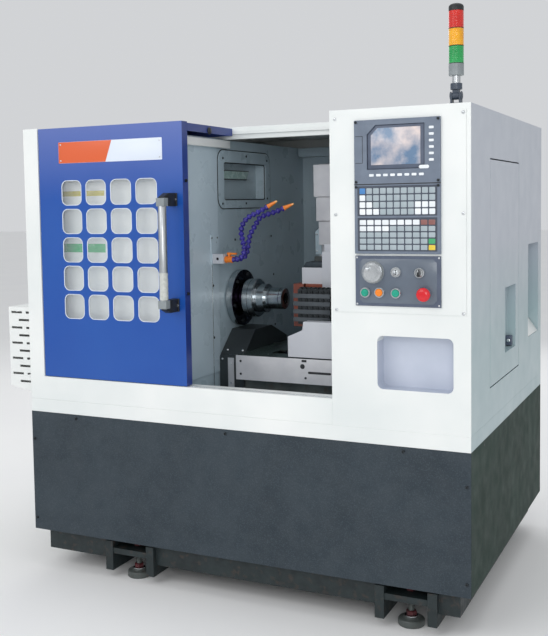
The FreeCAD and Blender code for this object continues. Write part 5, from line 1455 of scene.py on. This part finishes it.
@dataclass
class ToolSlides:
    """Carriage, cross slide with its column, vertical slide and the tools."""

    clamp_bottom: float = 1015.0
    bar_radius: float = 5.4

    def build(self) -> None:
        """Dress the slides and add screws and the column's side plate."""
        softened("carriage", BARE_IRON, 1.5)
        softened("carriage_cover", PALE_GREY, 1.4)
        softened("cross_slide", PALE_GREY, 1.4)
        softened("column_cover", STAINLESS, 1.0)
        softened("vertical_slide", BARE_IRON, 1.2)
        low, high = span("tool_block")
        softened("tool_block", COPPER, 1.8, areas=(
            (PALE_GREY, (low.x - 1, low.y - 1, self.clamp_bottom + 1), (high.x + 1, high.y + 1, high.z + 1)),
            (SLATE_COAT, (low.x - 1, low.y - 1, high.z - 2.2), (high.x + 1, high.y + 1, high.z + 1))))
        softened("gang_block", BLACK_OXIDE, 1.0)
        softened("tool_bits", TOOL_STEEL, 0.5)
        self.column_plate()
        self.clamp_screws()

    def column_plate(self) -> None:
        """Pale side plate at the column's left with its screw."""
        outline = [(847, 1110), (873, 1110), (873, 1221), (847, 1195)]
        Shape("column_side_plate", CHAMBER).plate(Axis.Y, outline, 646.8, 649.6, 0.6).done("cross_group")
        spread = ((-1.8, 0), (0, 0), (0, 2.8), (-1.8, 1.0))
        rim = [(x + dx, z + dz) for (x, z), (dx, dz) in zip(outline, spread)]
        Shape("column_plate_rim", RUBBER).plate(Axis.Y, rim, 648.2, 649.7).done("cross_group")
        screws("column_screws", BRIGHT, Head.PAN, 3.6, "cross_group",
               [(854, 646.6, 1186, "-Y"), (854, 646.6, 1122, "-Y")])

    def clamp_screws(self) -> None:
        """Rows of clamp screws on the gang holder and bolts in the tool carrier."""
        low, high = span("gang_block")
        places = [(low.x + 9 + 16 * column, low.y + y, high.z, "+Z") for column in range(8) for y in (10, 30)]
        places += [(low.x + 12 + 21 * column, low.y, low.z + 30 + 28 * row, "-Y")
                   for column in range(6) for row in range(4)]
        screws("gang_screws", BLACK_OXIDE, Head.SOCKET, self.bar_radius, "vertical_group", places)
        low, high = span("tool_block")
        screws("carrier_bolts", BLACK_OXIDE, Head.PAN, 4.5, "vertical_group",
               [(low.x, y, z, "-X") for y in (470, 560) for z in (890, 985)])
        Shape("clamp_cap", SLATE_COAT).plate(Axis.Y, [(876, 1075), (952, 1075), (948, 1092), (886, 1092)],
                                             458, 534, 1.0).done("vertical_group")
        Shape("slide_guard", PALE_GREY).block((958, 436, 1003), (1120, 439.5, 1131), 0.8).block(
            (967, 436, 1130), (1120, 439.5, 1158), 0.8).done("vertical_group")


# Joints of the two hoses, from the manifold to the nozzle.
FRONT_HOSE: list[Point] = [
    (680, 288, 1109), (700, 288, 1109), (716, 292, 1121), (722, 297, 1142), (716, 302, 1162), (708, 307, 1182),
    (701, 312, 1204), (702, 317, 1226), (712, 322, 1246), (728, 328, 1260), (748, 334, 1270), (768, 340, 1280),
    (788, 346, 1292)]
REAR_HOSE: list[Point] = [
    (672, 331, 1109), (694, 331, 1109), (710, 332, 1122), (716, 334, 1146), (718, 337, 1170), (722, 341, 1194),
    (732, 346, 1214), (742, 352, 1234), (752, 358, 1254), (770, 364, 1264), (792, 370, 1270), (814, 376, 1277),
    (834, 382, 1286)]


@dataclass
class Coolant:
    """Manifold with its valve, and the two segmented hoses with their nozzles."""

    pitch: float = 17.0
    radius: float = 10.2

    def build(self) -> None:
        """Dress the manifold and run both hoses."""
        low, high = span("coolant_block")
        softened("coolant_block", PALE_GREY, 1.0, areas=(
            (CHAMBER_LIGHT, (low.x - 1, low.y - 1, low.z - 1), (low.x + 2.7, high.y + 1, high.z + 1)),
            (ORANGE, (650.6, low.y, low.z), (high.x + 1, high.y + 1, high.z + 1)),
            (BLACK_OXIDE, (620, 271.6, 1104), (634, 290, 1120))))
        softened("valve_lever", ORANGE, 0.8)
        screws("manifold_screws", BLACK_OXIDE, Head.PAN, 3.4, "cabinet",
               [(607.5, 267.5, 1186, "+X"), (607.5, 308, 1186, "+X")])
        Shape("valve_housing", ORANGE).turned(Axis.X, (651, 288, 1109), [
            (0, 0), (0, 11), (2, 12.4), (6, 12.4), (7, 11), (22, 11), (23, 12.4), (27, 12.4), (29, 10),
            (29, 0)], sides=12).done()
        self.run("coolant_hose_front", FRONT_HOSE, ("coolant_hoses",))
        self.run("coolant_hose_rear", REAR_HOSE)

    def run(self, name: str, joints: list[Point], stands_for: tuple[str, ...] = ()) -> None:
        """One rigid hose of ball-and-socket segments with a nozzle at its end.

        Args:
            name: the hose's name.
            joints: points that it passes.
            stands_for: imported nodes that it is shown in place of.
        """
        curve = bpy.data.curves.new(name, "CURVE")
        curve.dimensions = "3D"
        spline = curve.splines.new("NURBS")
        spline.points.add(len(joints) - 1)
        for point, joint in zip(spline.points, joints):
            point.co = (*at(*joint), 1.0)
        spline.order_u, spline.use_endpoint_u, spline.resolution_u = 3, True, 8
        base = bpy.data.objects.new(name, curve)
        bpy.context.scene.collection.objects.link(base)
        length = sum((Vector(b) - Vector(a)).length for a, b in zip(joints, joints[1:]))
        radius, half = self.radius, self.pitch / 2
        segment = Shape(name, HOSE).turned(Axis.Z, (0, 0, 0), [
            (-half - 1, 0), (-half - 1, radius * 0.48), (-half + 1.4, radius * 0.55),
            (-half + 2.4, radius * 0.82), (-half + 4.2, radius * 0.97), (-1.6, radius), (1.6, radius * 0.93),
            (4.0, radius * 0.74), (half - 1.4, radius * 0.52), (half + 1, radius * 0.46), (half + 1, 0)],
            sides=24)
        repeated(Repeat.PATH, base, segment, "cabinet", stands_for=stands_for,
                 Count=round(length / self.pitch))
        start, stop = Vector(joints[-2]), Vector(joints[-1])
        for part, finish, profile in (
                ("nozzle", ORANGE, [(-3, 0), (-3, 6), (0, 8.4), (7, 8.8), (9, 7.4), (12, 7.0), (34, 4.6), (34, 0)]),
                ("tip", ORANGE_TIP, [(33, 0), (33, 4.4), (41, 3.4), (42, 2.2), (42, 0)])):
            turned = Shape(f"{name}_{part}", finish).turned(Axis.Z, (0, 0, 0), profile, sides=32)
            self.aimed(turned, stop, stop - start)

    def aimed(self, shape: Shape, start: Vector, along: Vector) -> None:
        """Finish a shape turned about Z so that it starts at a point and runs along a direction."""
        name, finish = shape.name, shape.finish
        obj = shape.plain(moved=False)
        turn = along.to_track_quat("Z", "Y").to_matrix().to_4x4()
        obj.data.transform(Matrix.Translation(at(*start)) @ turn)
        obj.name = name
        register(obj, "cabinet")


@dataclass
class SignalTower:
    """Folding bracket, pole and the stack of ribbed lenses."""

    lens_bottom: float = 1697.0
    lens_high: float = 50.0
    ribs: int = 9

    def build(self) -> None:
        """Dress bracket and pole, and turn the knuckle's caps, the lenses and the cap."""
        softened("tower_base", KNUCKLE, 0.8)
        low, high = span("tower_pole")
        softened("tower_pole", SILVER_TUBE, 0.8, areas=(
            (KNUCKLE, (low.x - 1, low.y - 1, low.z - 1), (high.x + 1, high.y + 1, 1640.5)),
            (GREY_CAP, (low.x - 1, low.y - 1, 1662), (high.x + 1, high.y + 1, high.z + 1))))
        knuckle = Shape("knuckle_caps", KNUCKLE)
        for start, side in ((1521.0, -1), (1551.0, 1)):
            knuckle.turned(Axis.X, (start, 50, 1606), [(0, 0), (0, 12.5), (side * 2.0, 11.8), (side * 2.4, 6),
                                                       (side * 3.4, 5.4), (side * 3.4, 0)], sides=32)
        knuckle.done()
        low, high = span("signal_lights")
        x, y, radius = (low.x + high.x) / 2, (low.y + high.y) / 2, (high.x - low.x) / 2
        for level, (name, finish) in enumerate((("lens_green", LENS_GREEN), ("lens_amber", LENS_AMBER),
                                                ("lens_red", LENS_RED))):
            profile = [(0.4, 0), (0.4, radius - 0.6)]
            step = (self.lens_high - 4) / self.ribs
            for rib in range(self.ribs):
                foot = 2 + rib * step
                profile += [(foot, radius - 1.0), (foot + step * 0.25, radius - 0.2),
                            (foot + step * 0.7, radius - 0.2), (foot + step * 0.95, radius - 1.0)]
            profile += [(self.lens_high - 1.2, radius - 0.4), (self.lens_high - 0.4, radius - 0.8),
                        (self.lens_high - 0.4, 0)]
            base = (x, y, self.lens_bottom + self.lens_high * level)
            stands_for = () if level else ("signal_lights",)
            Shape(name, finish).turned(Axis.Z, base, profile).done("tower", *stands_for)
        rim = Shape("lens_rims", BLACK_NYLON)
        for level in range(3):
            rim.turned(Axis.Z, (x, y, self.lens_bottom + self.lens_high * level - 0.8), [
                (0, 0), (0, radius - 0.4), (0.4, radius), (1.6, radius), (2.0, radius - 0.4), (2.0, 0)])
        rim.done("tower")
        top = self.lens_bottom + self.lens_high * 3
        Shape("tower_cap", BLACK_NYLON).turned(Axis.Z, (x, y, top), [
            (0, 0), (0, radius - 0.3), (11, radius), (15, radius - 1.5), (18.5, radius - 6), (20.5, radius - 12),
            (21, 0)]).done("tower")


@dataclass
class Drive:
    """Bed, headstock and drive, hidden behind the sheets."""

    def build(self) -> None:
        """Dress the hidden nodes."""
        low, high = span("door_rails")
        softened("door_rails", BRIGHT, 0.5, areas=(
            (WHITE, (low.x - 1, low.y - 1, (low.z + high.z) / 2), (high.x + 1, high.y + 1, high.z + 1)),))
        dressed(BRIGHT, "bed_rails", "spindle_bearings", "ball_screw")
        dressed(BARE_IRON, "bed_casting", "headstock")
        dressed(BLACKENED, "spindle_pulley", "motor_pulley")
        dressed(BLACK_ENAMEL, "spindle_motor")
        dressed(RUBBER, "drive_belt")


@dataclass
class Studio:
    """Pale floor, soft lights and the camera."""

    floor: float = 40.0
    camera_place: Point = (1.5419, -3.2989, 1.3019)
    yaw: float = 0.4564
    pitch: float = 0.0694
    roll: float = -0.0166
    lens: float = 54.91
    shift: Flat = (0.0377, -0.0723)

    def build(self) -> None:
        """Set floor, world, lights and camera."""
        self.lay_floor()
        self.world()
        self.light("key_softbox", (-1.6, -4.2, 3.6), (0.1, 0, 0.9), 3.2, 62.0)
        self.light("right_fill", (4.4, -1.6, 2.2), (0.4, 0, 0.9), 2.6, 5.0)
        self.light("top_softbox", (0.2, 0.4, 4.4), (0.2, 0, 0.8), 3.4, 30.0)
        self.light("front_fill", (2.0, -4.6, 1.9), (-0.1, 0.2, 1.1), 1.8, 48.0)
        self.light("back_fill", (-1.5, 4.5, 2.6), (0.0, 0, 0.9), 3.0, 40.0)
        bpy.context.scene.view_settings.view_transform = "Standard"
        self.camera()

    def lay_floor(self) -> None:
        """Plain pale floor."""
        half = self.floor
        mesh = bpy.data.meshes.new("studio_floor")
        corners = [(-half, -half, 0), (half, -half, 0), (half, half, 0), (-half, half, 0)]
        mesh.from_pydata(corners, [], [(0, 1, 2, 3)])
        surface = Surface("studio_floor_paint", Metallic=0.0, Specular_IOR_Level=0.2)
        surface.feed("Base Color", surface.colours(surface.patches(900.0, 0.0, 1.0), "#F4F4F3", "#F1F1F1"))
        surface.feed("Roughness", surface.patches(300.0, 0.75, 0.9))
        mesh.materials.append(surface.material)
        shown("studio_floor", mesh)

    def world(self) -> None:
        """Even pale surroundings."""
        world = bpy.data.worlds.new("studio_world")
        world.use_nodes = True
        world.node_tree.nodes.clear()
        back = add(world.node_tree, "ShaderNodeBackground", {"Color": linear("#F5F7FA"), "Strength": 0.7})
        add(world.node_tree, "ShaderNodeOutputWorld", {"Surface": back.outputs["Background"]})
        bpy.context.scene.world = world

    def light(self, name: str, place: Point, target: Point, size: float, power: float) -> None:
        """Square softbox that faces a target.

        Args:
            name: the light's name.
            place: where it stands, in metres.
            target: the point it faces.
            size: its side in metres.
            power: its power in watts.
        """
        data = bpy.data.lights.new(name, "AREA")
        data.shape, data.size, data.energy = "SQUARE", size, power
        lamp = bpy.data.objects.new(name, data)
        lamp.location = place
        lamp.rotation_euler = (Vector(target) - Vector(place)).to_track_quat("-Z", "Y").to_euler()
        bpy.context.scene.collection.objects.link(lamp)

    def camera(self) -> None:
        """Camera at eye height in front of the right side, turned to the left."""
        data = bpy.data.cameras.new("view")
        data.lens, data.sensor_fit, data.sensor_width, data.sensor_height = self.lens, "AUTO", 36.0, 36.0
        data.shift_x, data.shift_y = self.shift
        data.clip_end = 200.0
        forward = Vector((-math.sin(self.yaw) * math.cos(self.pitch), math.cos(self.yaw) * math.cos(self.pitch),
                          -math.sin(self.pitch)))
        right = Vector((math.cos(self.yaw), math.sin(self.yaw), 0))
        up = right.cross(forward)
        side = right * math.cos(self.roll) + up * math.sin(self.roll)
        top = up * math.cos(self.roll) - right * math.sin(self.roll)
        eye = bpy.data.objects.new("view", data)
        turn = Matrix((side, top, -forward)).transposed().to_4x4()
        eye.matrix_world = Matrix.Translation(self.camera_place) @ turn
        bpy.context.scene.collection.objects.link(eye)
        bpy.context.scene.camera = eye


def main() -> None:
    """Build every sub-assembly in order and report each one."""
    for assembly in (Studio(), Stand(), Cabinet(), LouverGuard(), SlidingDoor(), Controls(), RightSide(), Chamber(),
                     Spindle(), ToolSlides(), Coolant(), SignalTower(), Drive()):
        before = set(bpy.data.objects)
        assembly.build()
        for piece in sorted(obj.name for obj in set(bpy.data.objects) - before):
            log.info("%s: %s", type(assembly).__name__, piece)


if __name__ == "__main__":
    main()
